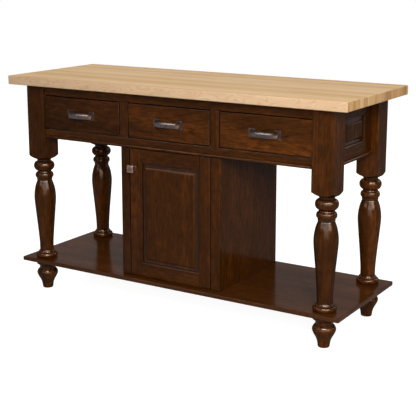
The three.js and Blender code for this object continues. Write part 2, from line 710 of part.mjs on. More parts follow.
function drawerPull() {
  const plateX = PULL_LENGTH / 2 - PULL_PLATE_WIDTH / 2;
  const outerHalf = PULL_LENGTH / 2 - PULL_BAR_INSET;
  const innerHalf = outerHalf - PULL_BAR_THICKNESS;
  const innerRise = PULL_PROJECTION - PULL_BAR_THICKNESS;
  const steps = Array.from({ length: ARCH_STEPS + 1 }, (_, i) => i / ARCH_STEPS);
  const outer = steps.map((share) => archPoint(share, outerHalf, PULL_PROJECTION));
  const inner = steps.map((share) => archPoint(share, innerHalf, innerRise)).reverse();
  const strap = new THREE.ExtrudeGeometry(new THREE.Shape(points([...outer, ...inner])), {
    depth: PULL_BAR_HEIGHT, bevelEnabled: false,
  });
  strap.translate(0, 0, -PULL_BAR_HEIGHT / 2);
  let pull = solid(strap);
  for (const sign of [-1, 1]) {
    pull = pull.add(easedBlock(
      [sign * plateX - PULL_PLATE_WIDTH / 2, sign * plateX + PULL_PLATE_WIDTH / 2],
      [-PULL_PLATE_THICKNESS, PULL_EDGE_RADIUS],
      [-PULL_PLATE_HEIGHT / 2, PULL_PLATE_HEIGHT / 2], PULL_EDGE_RADIUS));
  }
  return pull.intersect(block([-PULL_LENGTH, PULL_LENGTH], [-PULL_LENGTH, 0], [-PULL_LENGTH, PULL_LENGTH]));
}

const guideFace = GUIDE_PROJECTION + BOX_SIDE_CLEARANCE;
const sideOpening = [CABINET_HALF, LEG_INNER_X];
const drawers = [
  ['left', -(sideOpening[0] + sideOpening[1]) / 2, (sideOpening[1] - sideOpening[0]) / 2],
  ['middle', 0, CENTRE_HALF],
  ['right', (sideOpening[0] + sideOpening[1]) / 2, (sideOpening[1] - sideOpening[0]) / 2],
];
for (const [side, x, openingHalf] of drawers) {
  const frontHalf = openingHalf - DRAWER_GAP;
  const boxHalf = openingHalf - guideFace;
  const drawer = new THREE.Group();
  drawer.position.x = x;
  island.add(drawer);
  place(`${side}_drawer_front`, drawerFront(frontHalf, boxHalf), STAINED_WOOD, 0, 0, 0, drawer);
  place(`${side}_drawer_box`, drawerBox(boxHalf), DRAWER_WOOD, 0, 0, 0, drawer);
  place(`${side}_drawer_bottom`, bottomPanel(boxHalf), DRAWER_WOOD, 0, 0, 0, drawer);
  place(`${side}_drawer_pull`, drawerPull(), BRONZE,
    0, FRONT_FACE - JOINT_GAP, (frontBottom + frontTop) / 2, drawer);
}

// Cabinet between the shelf and the apron
const cabinetBottom = SHELF_TOP + JOINT_GAP;
const cabinetTop = APRON_BOTTOM - JOINT_GAP;
const sideFrontY = CABINET_FRONT + CABINET_STILE_THICKNESS + JOINT_GAP;
const backPanelY = [CABINET_BACK_Y - CABINET_BACK_THICKNESS, CABINET_BACK_Y];
const shelfMiddle = SHELF_TOP + (cabinetTop - SHELF_TOP) * INNER_SHELF_SHARE;
const innerShelfZ = [shelfMiddle - INNER_SHELF_THICKNESS / 2, shelfMiddle + INNER_SHELF_THICKNESS / 2];
const innerShelfY = [CABINET_FRONT + DOOR_THICKNESS + INNER_SHELF_SETBACK, backPanelY[0] - JOINT_GAP];

function innerShelf(grow = 0) {
  const reach = CABINET_INNER_X + HOUSING_DEPTH - JOINT_GAP + grow;
  return block([-reach, reach], [innerShelfY[0] - grow, innerShelfY[1] + grow], grown(innerShelfZ, grow));
}

function cabinetSide(sign) {
  const rise = runnerBottom - JOINT_GAP;
  const backOfCase = -RAIL_BACK - JOINT_GAP;
  const outline = points([
    [sideFrontY, cabinetBottom], [CABINET_BACK_Y, cabinetBottom], [CABINET_BACK_Y, cabinetTop],
    [backOfCase, cabinetTop], [backOfCase, rise], [sideFrontY, rise],
  ]);
  return alongX(outline, signed(sign, CABINET_INNER_X, CABINET_HALF)).subtract(innerShelf(JOINT_GAP));
}

for (const [side, sign] of [['left', -1], ['right', 1]]) {
  place(`cabinet_${side}_side`, cabinetSide(sign), STAINED_WOOD);
  const stile = block(signed(sign, CENTRE_HALF, CABINET_HALF),
    [CABINET_FRONT, CABINET_FRONT + CABINET_STILE_THICKNESS], [cabinetBottom, cabinetTop]);
  place(`cabinet_${side}_stile`, stile, STAINED_WOOD);
}
const backHalf = CABINET_INNER_X - JOINT_GAP;
place('cabinet_back', block([-backHalf, backHalf], backPanelY, [cabinetBottom, cabinetTop]), STAINED_WOOD);
place('cabinet_shelf', innerShelf(), STAINED_WOOD);

// Door: stiles and rails round a raised panel, with the face of each piece at CABINET_FRONT
const doorHalf = CENTRE_HALF - DOOR_GAP;
const doorZ = [SHELF_TOP + DOOR_GAP, APRON_BOTTOM - DOOR_GAP];
const doorWindow = {
  x: [-(doorHalf - DOOR_STILE), doorHalf - DOOR_STILE],
  z: [doorZ[0] + DOOR_RAIL, doorZ[1] - DOOR_RAIL],
};
const pivotX = doorHalf - PIVOT_INSET;
const pivotY = CABINET_FRONT + PIVOT_DEPTH;
const leafX = [pivotX - PIVOT_PLATE_LENGTH + PIVOT_INSET / 2, pivotX + PIVOT_INSET / 2];
const leafY = [pivotY - PIVOT_PLATE_WIDTH / 2, pivotY + PIVOT_PLATE_WIDTH / 2];
const door = new THREE.Group();
island.add(door);

// A hinge leaf lies flush in the end of the hinge stile. Ends are 0 for the lower and 1 for the upper one.
function hingeLeaf(end, grow = 0) {
  const outward = end === 0 ? -1 : 1;
  const face = doorZ[end];
  const z = signedSpan(face, -outward, PIVOT_PLATE_THICKNESS + grow, grow > 0 ? CUT_OVERRUN : 0);
  return block(grown(leafX, grow), grown(leafY, grow), z);
}

function signedSpan(face, inward, deep, proud) {
  return [face + inward * deep, face - inward * proud].sort((a, b) => a - b);
}

function pivotBore(end) {
  const inward = end === 0 ? 1 : -1;
  const deep = PIVOT_PIN_LENGTH + PIVOT_PLATE_THICKNESS;
  return rod(PIVOT_PIN_RADIUS + PIN_CLEARANCE, pivotX, pivotY,
    signedSpan(doorZ[end], inward, deep, CUT_OVERRUN));
}

function hingePlate(end) {
  const inward = end === 0 ? 1 : -1;
  const seat = end === 0 ? SHELF_TOP + JOINT_GAP : APRON_BOTTOM - JOINT_GAP;
  const plate = block(leafX, leafY, signedSpan(seat, inward, PIVOT_PLATE_THICKNESS, 0));
  return plate.add(rod(PIVOT_PIN_RADIUS, pivotX, pivotY, signedSpan(seat, inward, PIVOT_PIN_LENGTH, 0)));
}

function doorStile(sign) {
  let stile = block(signed(sign, doorHalf - DOOR_STILE, doorHalf),
    [CABINET_FRONT, CABINET_FRONT + DOOR_THICKNESS], doorZ);
  const groove = { x: doorWindow.x, z: grown(doorZ, -TENON_SHOULDER - GROOVE_DEPTH) };
  stile = stile.add(facingDoor(sticking(doorWindow, sign < 0 ? 3 : 1)))
    .subtract(facingDoor(panelGroove(groove)));
  if (sign < 0) return stile;
  for (const end of [0, 1]) stile = stile.subtract(hingeLeaf(end, JOINT_GAP)).subtract(pivotBore(end));
  const corner = HINGE_CORNER_RADIUS;
  const chamfer = points([
    [doorHalf - corner, CABINET_FRONT - CUT_OVERRUN], [doorHalf + CUT_OVERRUN, CABINET_FRONT - CUT_OVERRUN],
    [doorHalf + CUT_OVERRUN, CABINET_FRONT + corner], [doorHalf, CABINET_FRONT + corner],
    [doorHalf - corner, CABINET_FRONT],
  ]);
  const cutter = new THREE.ExtrudeGeometry(new THREE.Shape(chamfer), {
    depth: doorZ[1] - doorZ[0] + 2 * CUT_OVERRUN, bevelEnabled: false,
  });
  cutter.translate(0, 0, doorZ[0] - CUT_OVERRUN);
  return stile.subtract(solid(cutter));
}

const facingDoor = (shape) => shape.translate([0, CABINET_FRONT, 0]);

function doorRail(side) {
  const [x0, x1] = doorWindow.x;
  const z = side === 0 ? [doorZ[0], doorWindow.z[0]] : [doorWindow.z[1], doorZ[1]];
  const between = block([x0 + JOINT_GAP, x1 - JOINT_GAP],
    [CABINET_FRONT - CUT_OVERRUN, CABINET_FRONT + DOOR_THICKNESS], doorZ);
  const tenon = facingDoor(block(grown(doorWindow.x, GROOVE_DEPTH), [tongueFront, tongueBack],
    tenonHeight(z, 0)));
  return block([x0, x1], [CABINET_FRONT, CABINET_FRONT + DOOR_THICKNESS], z)
    .add(facingDoor(sticking(doorWindow, side, JOINT_GAP)))
    .intersect(between)
    .add(tenon)
    .subtract(facingDoor(panelGroove(doorWindow)));
}

place('door_left_stile', doorStile(-1), STAINED_WOOD, 0, 0, 0, door);
place('door_right_stile', doorStile(1), STAINED_WOOD, 0, 0, 0, door);
place('door_bottom_rail', doorRail(0), STAINED_WOOD, 0, 0, 0, door);
place('door_top_rail', doorRail(2), STAINED_WOOD, 0, 0, 0, door);
place('door_panel', facingDoor(raisedPanel(doorWindow)), STAINED_WOOD, 0, 0, 0, door);
for (const [end, level] of [[0, 'lower'], [1, 'upper']]) {
  place(`${level}_hinge_leaf`, hingeLeaf(end).subtract(pivotBore(end)), STEEL, 0, 0, 0, door);
  place(`${level}_hinge_plate`, hingePlate(end), STEEL);
}

// Knob: a square base, a waisted neck and a square head with a crowned face
function doorKnob() {
  const headBack = KNOB_PROJECTION - KNOB_HEAD_THICKNESS;
  const shoulder = (headBack + KNOB_BASE_THICKNESS) / 2;
  const sections = [
    [KNOB_BASE_SIDE, 0], [KNOB_BASE_SIDE, KNOB_BASE_THICKNESS], [KNOB_NECK_SIDE, KNOB_BASE_THICKNESS],
    [KNOB_NECK_SIDE, shoulder], [KNOB_SIDE, headBack],
    [KNOB_SIDE, KNOB_PROJECTION - KNOB_CROWN], [KNOB_SIDE - 2 * KNOB_CROWN, KNOB_PROJECTION],
  ];
  const rings = sections.map(([side, out]) => [[-1, -1], [1, -1], [1, 1], [-1, 1]].map(([sx, sz]) => (
    new THREE.Vector3(sx * side / 2, -out, sz * side / 2))));
  const index = [0, 1, 2, 0, 2, 3];
  for (let ring = 0; ring + 1 < rings.length; ring += 1) {
    for (let corner = 0; corner < 4; corner += 1) {
      const a = ring * 4 + corner;
      const b = ring * 4 + (corner + 1) % 4;
      index.push(a, b + 4, b, a, a + 4, b + 4);
    }
  }
  const last = (rings.length - 1) * 4;
  index.push(last, last + 2, last + 1, last, last + 3, last + 2);
  const geometry = new THREE.BufferGeometry().setFromPoints(rings.flat());
  geometry.setIndex(index);
  const shape = solid(geometry);
  if (shape.volume() > 0) return shape;
  geometry.setIndex(index.reverse());
  return solid(geometry);
}

place('door_knob', doorKnob(), BRONZE, -(doorHalf - KNOB_FROM_DOOR_EDGE),
  CABINET_FRONT - JOINT_GAP, doorZ[1] - KNOB_BELOW_DOOR_TOP, door);

// Magnetic catch: a block on the inside of the left side that the back of the door comes to rest against
const catchZ = doorZ[0] + (doorZ[1] - doorZ[0]) * CATCH_SHARE;
const catchY = CABINET_FRONT + DOOR_THICKNESS + JOINT_GAP;
place('door_catch', block(
  [-backHalf, -backHalf + CATCH_LENGTH], [catchY, catchY + CATCH_DEPTH],
  [catchZ - CATCH_HEIGHT / 2, catchZ + CATCH_HEIGHT / 2]), STEEL);

export default island;
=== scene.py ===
"""Looks of the kitchen island: smooth turnings, eased boards, mouldings, metalwork and finishes round the
part's own solids. Everything is in metres, the front faces -Y and the floor is at Z 0."""

import math
import zlib

import bmesh
import bpy
import numpy as np
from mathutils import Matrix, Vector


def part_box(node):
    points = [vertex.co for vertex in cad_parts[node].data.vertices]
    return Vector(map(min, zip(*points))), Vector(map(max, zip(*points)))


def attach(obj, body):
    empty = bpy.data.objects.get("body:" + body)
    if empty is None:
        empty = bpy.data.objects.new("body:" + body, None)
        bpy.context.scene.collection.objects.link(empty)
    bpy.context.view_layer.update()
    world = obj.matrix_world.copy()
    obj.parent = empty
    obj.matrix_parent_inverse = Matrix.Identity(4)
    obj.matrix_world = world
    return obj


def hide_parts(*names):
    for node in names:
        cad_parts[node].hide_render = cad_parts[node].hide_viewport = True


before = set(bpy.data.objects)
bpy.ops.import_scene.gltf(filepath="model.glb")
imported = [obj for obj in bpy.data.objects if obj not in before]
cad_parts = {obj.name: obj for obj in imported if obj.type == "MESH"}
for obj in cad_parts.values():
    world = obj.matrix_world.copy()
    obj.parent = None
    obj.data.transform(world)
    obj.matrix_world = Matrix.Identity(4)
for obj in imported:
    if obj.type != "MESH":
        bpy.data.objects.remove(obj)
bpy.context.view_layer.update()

# Bodies of the part
ISLAND = "island_frame"
DOOR = "cabinet_door"
DRAWERS = ("left", "middle", "right")
CORNERS = ("front_left", "front_right", "back_left", "back_right")

# Legs and feet
POST_BOTTOM = 0.576
POST_ROW_SHARES = (0.25, 0.6, 1.0)
LEG_TENON_RADIUS = 0.0125
TURNED_COLUMNS = 96
ARRIS = 0.0028
ARRIS_COLUMNS = 5
DOME_ROWS = 10
QUARTER_STEPS = 8
HALF_TURN_STEPS = 18
# How far along a turned outline its hollowness is measured, and the depth at which the painted shade in a
# hollow is full
HOLLOW_REACH = 0.003
HOLLOW_FULL = 0.0012

# Edges of the boards
SHARP_ANGLE = 34
EASE_STEPS = 4
TOP_EASE = 0.0035
SHELF_EASE = 0.003
FRONT_EASE = 0.0025
DOOR_EASE = 0.0026
STILE_EASE = 0.0022
BOARD_EASE = 0.0008
BOX_EASE = 0.0022
GAP_EASE = 0.002
# How the painted shade of a gap grows over a board's front edge, and its share on the rear half of the sides
GAP_POWER = 0.7
GAP_REAR_SHARE = 0.6

# Framed panels. Depths are measured from the face of the frame, and LAP is how far glued pieces overlap
GROOVE = 0.007
STICKING_WIDTH = 0.007
STICKING_DEPTH = 0.008
STICKING_STEPS = 8
BEAD_POINTS = 21
QUIRK_SHARE = 0.1
QUIRK_DROP_SHARE = 0.12
ROUND_DROP_SHARE = 0.5
# Painted shade in the quirk of a sticking: its strength, and the shares of the sticking's width and depth
# that it covers
QUIRK_HOLLOW = 0.8
QUIRK_HOLLOW_SHARES = (0.3, 0.2)
RAIL_THICKNESS = 0.019
DOOR_THICKNESS = 0.020
TENON_THICKNESS = 0.009
TENON_SHOULDER = 0.006
TENON_ROOT_SHARE = 0.98
LAP = 0.0003
RAIL_DEPTHS = (0, RAIL_THICKNESS)
DOOR_DEPTHS = (0, DOOR_THICKNESS)
TENON_DEPTHS = ((RAIL_THICKNESS - TENON_THICKNESS) / 2, (RAIL_THICKNESS + TENON_THICKNESS) / 2)

# Drawer boxes
BOX_WALL = 0.012
BOX_BACK_DROP = 0.002

# Strap pulls: half length and rise of the strap's outer and inner line, and the plates under its ends
STRAP_OUTER = (0.060, 0.0270)
STRAP_INNER = (0.0548, 0.0222)
STRAP_POWER = 0.78
STRAP_CROWN = 0.86
STRAP_BACK_SHARES = (0.95, 1, 1, 0.95)
STRAP_BACK_LEVEL_SHARES = (1, 0.86, -0.86, -1)
STRAP_HALF_HEIGHT = 0.0118
STRAP_FLARE = 0.0022
STRAP_FLARE_POWER = 14
STRAP_WORN_POWER = 5
STRAP_WORN_FALL = 0.6
STRAP_RIM_WORN = 0.1
STRAP_RIM_POWER = 8
STRAP_ARCH_POINTS = 57
STRAP_FACE_POINTS = 15
PULL_PLATE = (0.027, 0.033)
PULL_PLATE_STEP = 0.0024
PULL_PLATE_LEVELS = (0.0016, 0.0030)
PULL_PLATE_EASE = 0.0007

# Screw heads
SCREW_RADIUS = 0.0042
SCREW_HEIGHT = 0.0022
SCREW_RINGS = 12
SCREW_COLUMNS = 32
SCREW_MIDDLE_SHARE = 0.06
RECESS_ARM = 0.0007
RECESS_DEPTH = 0.0011
RECESS_SHARE = 0.62

# Magnetic catch and its strike plate
CATCH_EASE = 0.001
CATCH_SETBACK = 0.0012
POLE_INSET = 0.008
POLE_BACK = 0.002
POLE_OFFSET = 0.0035
POLE_THICKNESS = 0.0012
POLE_EASE = 0.0002
STRIKE_MARGIN = 0.002
STRIKE_LENGTH = 0.013
STRIKE_HEIGHT = 0.011
STRIKE_SINK = 0.001
STRIKE_PROUD = 0.0001
STRIKE_EASE = 0.00008


def millimetres(*pairs):
    return np.array(pairs, float) / 1000


def box_of(node):
    low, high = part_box(node)
    return np.array(low), np.array(high)


# Surfaces. Each one is a closed skin: its points, its faces, and how hollow the skin is at each point, which
# the finishes paint as shade in hollows and gaps and as wear on proud edges
def loft(rings, hollow=None):
    """Skin over closed rings, given as ring by point by xyz. Point j of a ring joins point j of the next
    one, and a flat face closes each end. Faces are turned outwards by the sign of the enclosed volume,
    which is the sum of a . (b x c) over the skin's triangles."""
    count, around = rings.shape[:2]
    points = rings.reshape(-1, 3)
    ring, spot = np.meshgrid(np.arange(count - 1), np.arange(around), indexing="ij")
    near, beside = ring * around + spot, ring * around + (spot + 1) % around
    quads = np.stack([near, beside, beside + around, near + around], -1).reshape(-1, 4)
    ends = np.arange(around)[::-1], (count - 1) * around + np.arange(around)
    fans = [np.stack([np.full(around - 2, end[0]), end[1:-1], end[2:]], 1) for end in ends]
    a, b, c = points[np.concatenate([quads[:, :3], quads[:, [0, 2, 3]], *fans])].transpose(1, 0, 2)
    faces = [*quads.tolist(), *(end.tolist() for end in ends)]
    if np.einsum("ij,ij->", a, np.cross(b, c)) < 0:
        faces = [face[::-1] for face in faces]
    flat = np.zeros(len(points)) if hollow is None else np.broadcast_to(hollow, (count, around)).ravel()
    return points, faces, flat


def corner_turns():
    """Turns round a board or a square, with a quarter circle to each corner, and the side of the middle
    that each one stands on, on both axes."""
    arc = np.linspace(0, np.pi / 2, EASE_STEPS + 1)
    turn = (np.arange(4)[:, None] * np.pi / 2 + arc).ravel()
    side = np.repeat([[1, 1], [-1, 1], [-1, -1], [1, -1]], len(arc), axis=0)
    return arc, turn, side


def board(low, high, ease, in_gap=False):
    """Board with rounded edges. An eighth of a ball stands in each corner of the box drawn in by ease:
    ease times (cos b sin a, sin b sin a, -cos a), with tilt a from foot to top and turn b round the board.
    With in_gap, the skin is marked for painted shade, the shade of the gap round the board: it grows over the
    front edge, is less on the rear half of the sides, and is none at the back."""
    low, high = np.asarray(low, float), np.asarray(high, float)
    middle, half = (low + high) / 2, (high - low) / 2 - ease
    arc, turn, side = corner_turns()
    tilt = np.concatenate([arc, np.pi / 2 + arc])[:, None]
    level = np.repeat([-1, 1], len(arc))[:, None]
    rings = np.empty((len(tilt), len(turn), 3))
    rings[..., 0] = middle[0] + side[:, 0] * half[0] + ease * np.sin(tilt) * np.cos(turn)
    rings[..., 1] = middle[1] + side[:, 1] * half[1] + ease * np.sin(tilt) * np.sin(turn)
    rings[..., 2] = middle[2] + level * half[2] - ease * np.cos(tilt)
    # Painted shade of the gap: none on the front face, full behind the front edge, less towards the back
    behind_front = np.clip((rings[..., 1] - low[1]) / ease, 0, 1)
    before_back = np.clip((high[1] - rings[..., 1]) / ease, 0, 1)
    depth_share = np.where(rings[..., 1] < middle[1], 1, GAP_REAR_SHARE)
    return loft(rings, behind_front**GAP_POWER * before_back * depth_share if in_gap else None)


def smooth_curve(points, steps):
    """Curve through points: between two of them a cubic whose slope at each one is half the way between
    that point's neighbours."""
    points = np.asarray(points, float)
    padded = np.pad(points, ((1, 1), (0, 0)), mode="edge")
    along = np.linspace(0, len(points) - 1, steps + 1)
    at = np.minimum(along.astype(int), len(points) - 2)
    t = (along - at)[:, None]
    p0, p1, p2, p3 = (padded[at + k] for k in range(4))
    slope0, slope1 = (p2 - p0) / 2, (p3 - p1) / 2
    return ((2 * t**3 - 3 * t**2 + 1) * p1 + (t**3 - 2 * t**2 + t) * slope0
            + (3 * t**2 - 2 * t**3) * p2 + (t**3 - t**2) * slope1)


# Turned outlines climb from the bottom. A cut is its kind, the height and radius that it reaches and, for a
# bead, its bulge: heights are shares of the turned length, radii and bulges of half the leg's side. Each kind
# says how the radius and the height go from 0 to 1 along the cut, and how the bulge comes and goes.
QUARTER = np.linspace(0, np.pi / 2, QUARTER_STEPS + 1)[1:]
HALF_TURN = np.linspace(0, np.pi, HALF_TURN_STEPS + 1)[1:]
HALF_WAVE = (1 - np.cos(HALF_TURN)) / 2
CUTS = {
    "line": (np.ones(1), np.ones(1), 0),
    "sweep": (np.sin(QUARTER), 1 - np.cos(QUARTER), 0),
    "rise": (1 - np.cos(QUARTER), np.sin(QUARTER), 0),
    "bead": (HALF_WAVE, HALF_WAVE, np.sin(HALF_TURN)),
}
VASE_SHARES = smooth_curve([
    [0.082, 0.66], [0.145, 0.672], [0.21, 0.715], [0.335, 0.82], [0.466, 0.945],
    [0.6, 1.04], [0.695, 0.925], [0.762, 0.7]], 44)
LEG_SHARES = [
    ("line", 0, 0.85), ("bead", 0.044, 0.83, 0.18), ("line", 0.044, 0.77), ("bead", 0.06, 0.745, 0.05),
    ("line", 0.06, 0.71), ("sweep", 0.082, 0.66),
    *(("line", height, radius) for height, radius in VASE_SHARES),
    ("line", 0.768, 0.735), ("line", 0.783, 0.735), ("line", 0.79, 0.76), ("bead", 0.838, 0.72, 0.125),
    ("line", 0.838, 0.69), ("rise", 0.854, 0.59), ("line", 0.857, 0.59), ("bead", 0.947, 0.64, 0.37),
    ("line", 0.968, 0.667),
]
DOME_SHARES = smooth_curve([
    [0.968, 0.667], [0.978, 0.905], [0.989, 1.12], [1, 1.286], [1.011, 1.43]], 20)
FOOT_CURVE_SHARES = smooth_curve([
    [0.05, 0.51], [0.18, 0.565], [0.3, 0.68], [0.415, 0.86], [0.49, 0.96],
    [0.57, 1.012], [0.645, 0.945], [0.705, 0.815]], 32)
FOOT_SHARES = [
    ("line", 0, 0.43), ("sweep", 0.04, 0.51),
    *(("line", height, radius) for height, radius in FOOT_CURVE_SHARES),
    ("line", 0.71, 0.775), ("line", 0.73, 0.775), ("line", 0.745, 0.73), ("rise", 0.885, 0.98),
    ("line", 0.9, 1.007), ("line", 1, 1.007),
]


def turned_outline(shares, length, half):
    """Radius and height along a turned outline, in metres, and how hollow it is: the mean radius a little way
    before and after each point, less its own radius, in parts of HOLLOW_FULL. The stain paints the hollow
    points darker, as painted shade together with a glaze, and the proud ones lighter, as wear."""
    radii, heights = [], []
    for kind, height, radius, *bulge in shares:
        old_radius, old_height = (radii[-1][-1], heights[-1][-1]) if radii else (radius, height)
        outward, upward, swell = CUTS[kind]
        radii.append(old_radius + (radius - old_radius) * outward + (bulge[0] if bulge else 0) * swell)
        heights.append(old_height + (height - old_height) * upward)
    radius, height = np.concatenate(radii) * half, np.concatenate(heights) * length
    way = np.concatenate([[0], np.cumsum(np.hypot(np.diff(radius), np.diff(height)))])
    around = [np.interp(way + step, way, radius) for step in (-HOLLOW_REACH, HOLLOW_REACH)]
    return radius, height, np.clip((sum(around) / 2 - radius) / HOLLOW_FULL, -1, 1)


def turned(centre, radius, height, turns, hollow):
    """Turned skin: centre plus radius times (cos turn, sin turn), at each height."""
    radius, height, turns = np.broadcast_arrays(radius, height, turns)
    rings = np.stack([centre[0] + radius * np.cos(turns), centre[1] + radius * np.sin(turns), height], -1)
    return loft(rings, hollow)


def square_reach(turns, half, arris):
    """Distance from the middle of a square post to its skin at each turn: half / cos t on a flat face, and
    on the rounded arris the far crossing of the line with the circle of radius arris in the corner."""
    t = np.abs((turns + np.pi / 4) % (np.pi / 2) - np.pi / 4)
    corner = half - arris
    toward = corner * (np.cos(t) + np.sin(t))
    on_arris = toward + np.sqrt(np.maximum(arris**2 - 2 * corner**2 + toward**2, 0))
    return np.where(t < math.atan2(corner, half), half / np.cos(t), on_arris)


def leg_surface(node, base):
    """Turned leg under a square post. The post's end is a dome cut by its four faces: in each column the
    dome climbs until its radius meets the square's, and the post goes straight up from there."""
    low, high = box_of(node)
    half = (high[0] - low[0]) / 2
    centre = (low + high) / 2
    length = POST_BOTTOM - base
    arris_start = math.atan2(half - ARRIS, half)
    arris = np.linspace(arris_start, np.pi / 2 - arris_start, ARRIS_COLUMNS)
    turns = np.unique(np.round(np.concatenate([
        np.linspace(0, 2 * np.pi, TURNED_COLUMNS, endpoint=False),
        *(arris + quarter * np.pi / 2 for quarter in range(4))]), 6))
    reach = square_reach(turns, half, ARRIS)
    radius, height, hollow = turned_outline(LEG_SHARES, length, half)
    dome_height, dome_radius = DOME_SHARES[:, 0] * length, DOME_SHARES[:, 1] * half
    crease = np.interp(reach, dome_radius, dome_height)
    climb = np.linspace(0, 1, DOME_ROWS)[1:, None]
    domed = dome_height[0] + climb * (crease - dome_height[0])
    top = high[2] - base
    post = crease + np.array(POST_ROW_SHARES)[:, None] * (top - crease)
    level_row = np.ones((1, len(turns)))
    rows = [LEG_TENON_RADIUS * level_row, LEG_TENON_RADIUS * level_row, radius[:, None] * level_row,
            np.interp(domed, dome_height, dome_radius), np.broadcast_to(reach, post.shape)]
    levels = [(low[2] - base) * level_row, 0 * level_row, height[:, None] * level_row, domed, post]
    hollows = np.concatenate([[0, 0], hollow, np.zeros(len(climb) + len(post))])[:, None]
    return turned(centre, np.concatenate(rows), base + np.concatenate(levels), turns, hollows)


def foot_surface(node, half):
    low, high = box_of(node)
    radius, height, hollow = turned_outline(FOOT_SHARES, high[2] - low[2], half)
    turns = np.linspace(0, 2 * np.pi, TURNED_COLUMNS, endpoint=False)
    return turned((low + high) / 2, radius[:, None], low[2] + height[:, None], turns, hollow[:, None])


# Framed panels. A face says how width u, depth d behind the face and height v lie in the room, and a window
# is its lower left and upper right corner, with its sides numbered round it from the lower one
LOWER, RIGHT, UPPER, LEFT = range(4)
FACES = {
    "front": lambda face: lambda u, d, v: (u, face + d, v),
    "back": lambda face: lambda u, d, v: (u, face - d, v),
    "right": lambda face: lambda u, d, v: (face - d, u, v),
    "left": lambda face: lambda u, d, v: (face + d, u, v),
}


def on_face(placed, u, d, v):
    return np.stack(np.broadcast_arrays(*placed(*(np.asarray(w, float) for w in (u, d, v)))), -1)


def face_board(placed, u, d, v, ease=BOARD_EASE, in_gap=False):
    ends = on_face(placed, u, d, v)
    return board(ends.min(0), ends.max(0), ease, in_gap)


def drawn_in(window, inset):
    """Widths and heights of a window's corners, drawn in by an inset, round from the lower left one."""
    u0, v0, u1, v1 = window
    return (np.stack([u0 + inset, u1 - inset, u1 - inset, u0 + inset]),
            np.stack([v0 + inset, v0 + inset, v1 - inset, v1 - inset]))


def sticking(placed, window, side):
    """Moulded edge along one side of a window: a flat quirk, then a quarter round. Both ends of each line
    draw in by the line's own inset, so that the corners are mitred."""
    bow = np.linspace(0, np.pi / 2, STICKING_STEPS + 1)
    inset = STICKING_WIDTH * np.concatenate([
        [0, QUIRK_SHARE], QUIRK_SHARE + (1 - QUIRK_SHARE) * np.sin(bow), [1, 0]])
    inset[[0, -1]] = -BOARD_EASE - LAP
    depth = STICKING_DEPTH * np.concatenate([
        [0, 0], QUIRK_DROP_SHARE + ROUND_DROP_SHARE * (1 - np.cos(bow)), [1, 1]])
    u, v = (corners[[side, (side + 1) % 4]] for corners in drawn_in(window, inset))
    # Painted shade in the quirk
    width_share, depth_share = QUIRK_HOLLOW_SHARES
    in_quirk = (depth > 0) & (depth < depth_share * STICKING_DEPTH) & (inset < width_share * STICKING_WIDTH)
    return loft(on_face(placed, u, depth, v), np.where(in_quirk, QUIRK_HOLLOW, 0))


def tenon(placed, u, heights):
    """Tenon half the way through a board, with a shoulder at its top and its bottom."""
    return face_board(placed, u, TENON_DEPTHS, [heights[0] + TENON_SHOULDER, heights[1] - TENON_SHOULDER])


def rail_levels(window, low, high):
    """Bottom and top rail of a frame: the heights that each one spans, and its side of the window."""
    return ("bottom", [low, window[1]], LOWER), ("top", [window[3], high], UPPER)


# Section of a raised panel, from the tongue to the field: inset from the window's edge and depth behind the
# frame's face, and how hollow it is at each of those points, which the stain paints as shade where it is
# positive and as a lighter rubbed colour where it is negative
PANEL_SECTION = millimetres(
    [-7, 13.3], [-7, 8.3], [7, 8.3], [9, 8.2], [14, 7.7], [19, 7.1], [20.5, 6.7], [22.0, 5.7], [24.0, 4.1],
    [26.0, 2.6], [27.5, 1.8], [29.0, 1.4], [31, 1.3], [34, 1.3])
PANEL_HOLLOW = np.array([0, 0, 1, 0.55, 0.2, 0.25, 0.3, 0.1, -0.1, -0.3, -0.4, -0.2, 0, 0])


def raised_panel(placed, window):
    """Raised panel: the window's rectangle drawn in by each inset of the section at that depth, from the
    tongue in the groove up the bevel and the small step to the field."""
    inset, depth = PANEL_SECTION.T
    u, v = drawn_in(window, inset)
    return loft(on_face(placed, u.T, depth[:, None], v.T), PANEL_HOLLOW[:, None])


def window_of(panel, width_axis):
    """The window that a panel fills, from its solid less the tongue in the groove."""
    low, high = box_of(panel)
    return low[width_axis] + GROOVE, low[2] + GROOVE, high[width_axis] - GROOVE, high[2] - GROOVE


def nosed_strip(low, high, out_axis, outward):
    """Bead moulding: a strip whose outer edge is a half circle, radius times (sin a, cos a) for a from 0
    to pi, carried straight from end to end."""
    a = np.linspace(0, np.pi, BEAD_POINTS)
    radius = (high[2] - low[2]) / 2
    back, tip = (low, high) if outward > 0 else (high, low)
    reach = tip[out_axis] - outward * radius
    out = np.concatenate([[back[out_axis]], reach + outward * radius * np.sin(a), [back[out_axis]]])
    up = np.concatenate([[high[2]], (low[2] + high[2]) / 2 + radius * np.cos(a), [low[2]]])
    long_axis = 1 - out_axis
    rings = np.empty((2, len(out), 3))
    rings[..., out_axis], rings[..., 2] = out, up
    rings[..., long_axis] = np.array([[low[long_axis]], [high[long_axis]]])
    return loft(rings)


# Metalwork, drawn facing -Y from a seat point
def seat_of(node):
    """Middle of the back of a pull or a knob."""
    low, high = box_of(node)
    return np.array([(low[0] + high[0]) / 2, high[1], (low[2] + high[2]) / 2])


def plate_seats(node):
    """Seats of the plates at the two ends of a pull."""
    low, high = box_of(node)
    reach = (high[0] - low[0] - PULL_PLATE[0]) / 2
    return [seat_of(node) + [side * reach, 0, 0] for side in (-1, 1)]


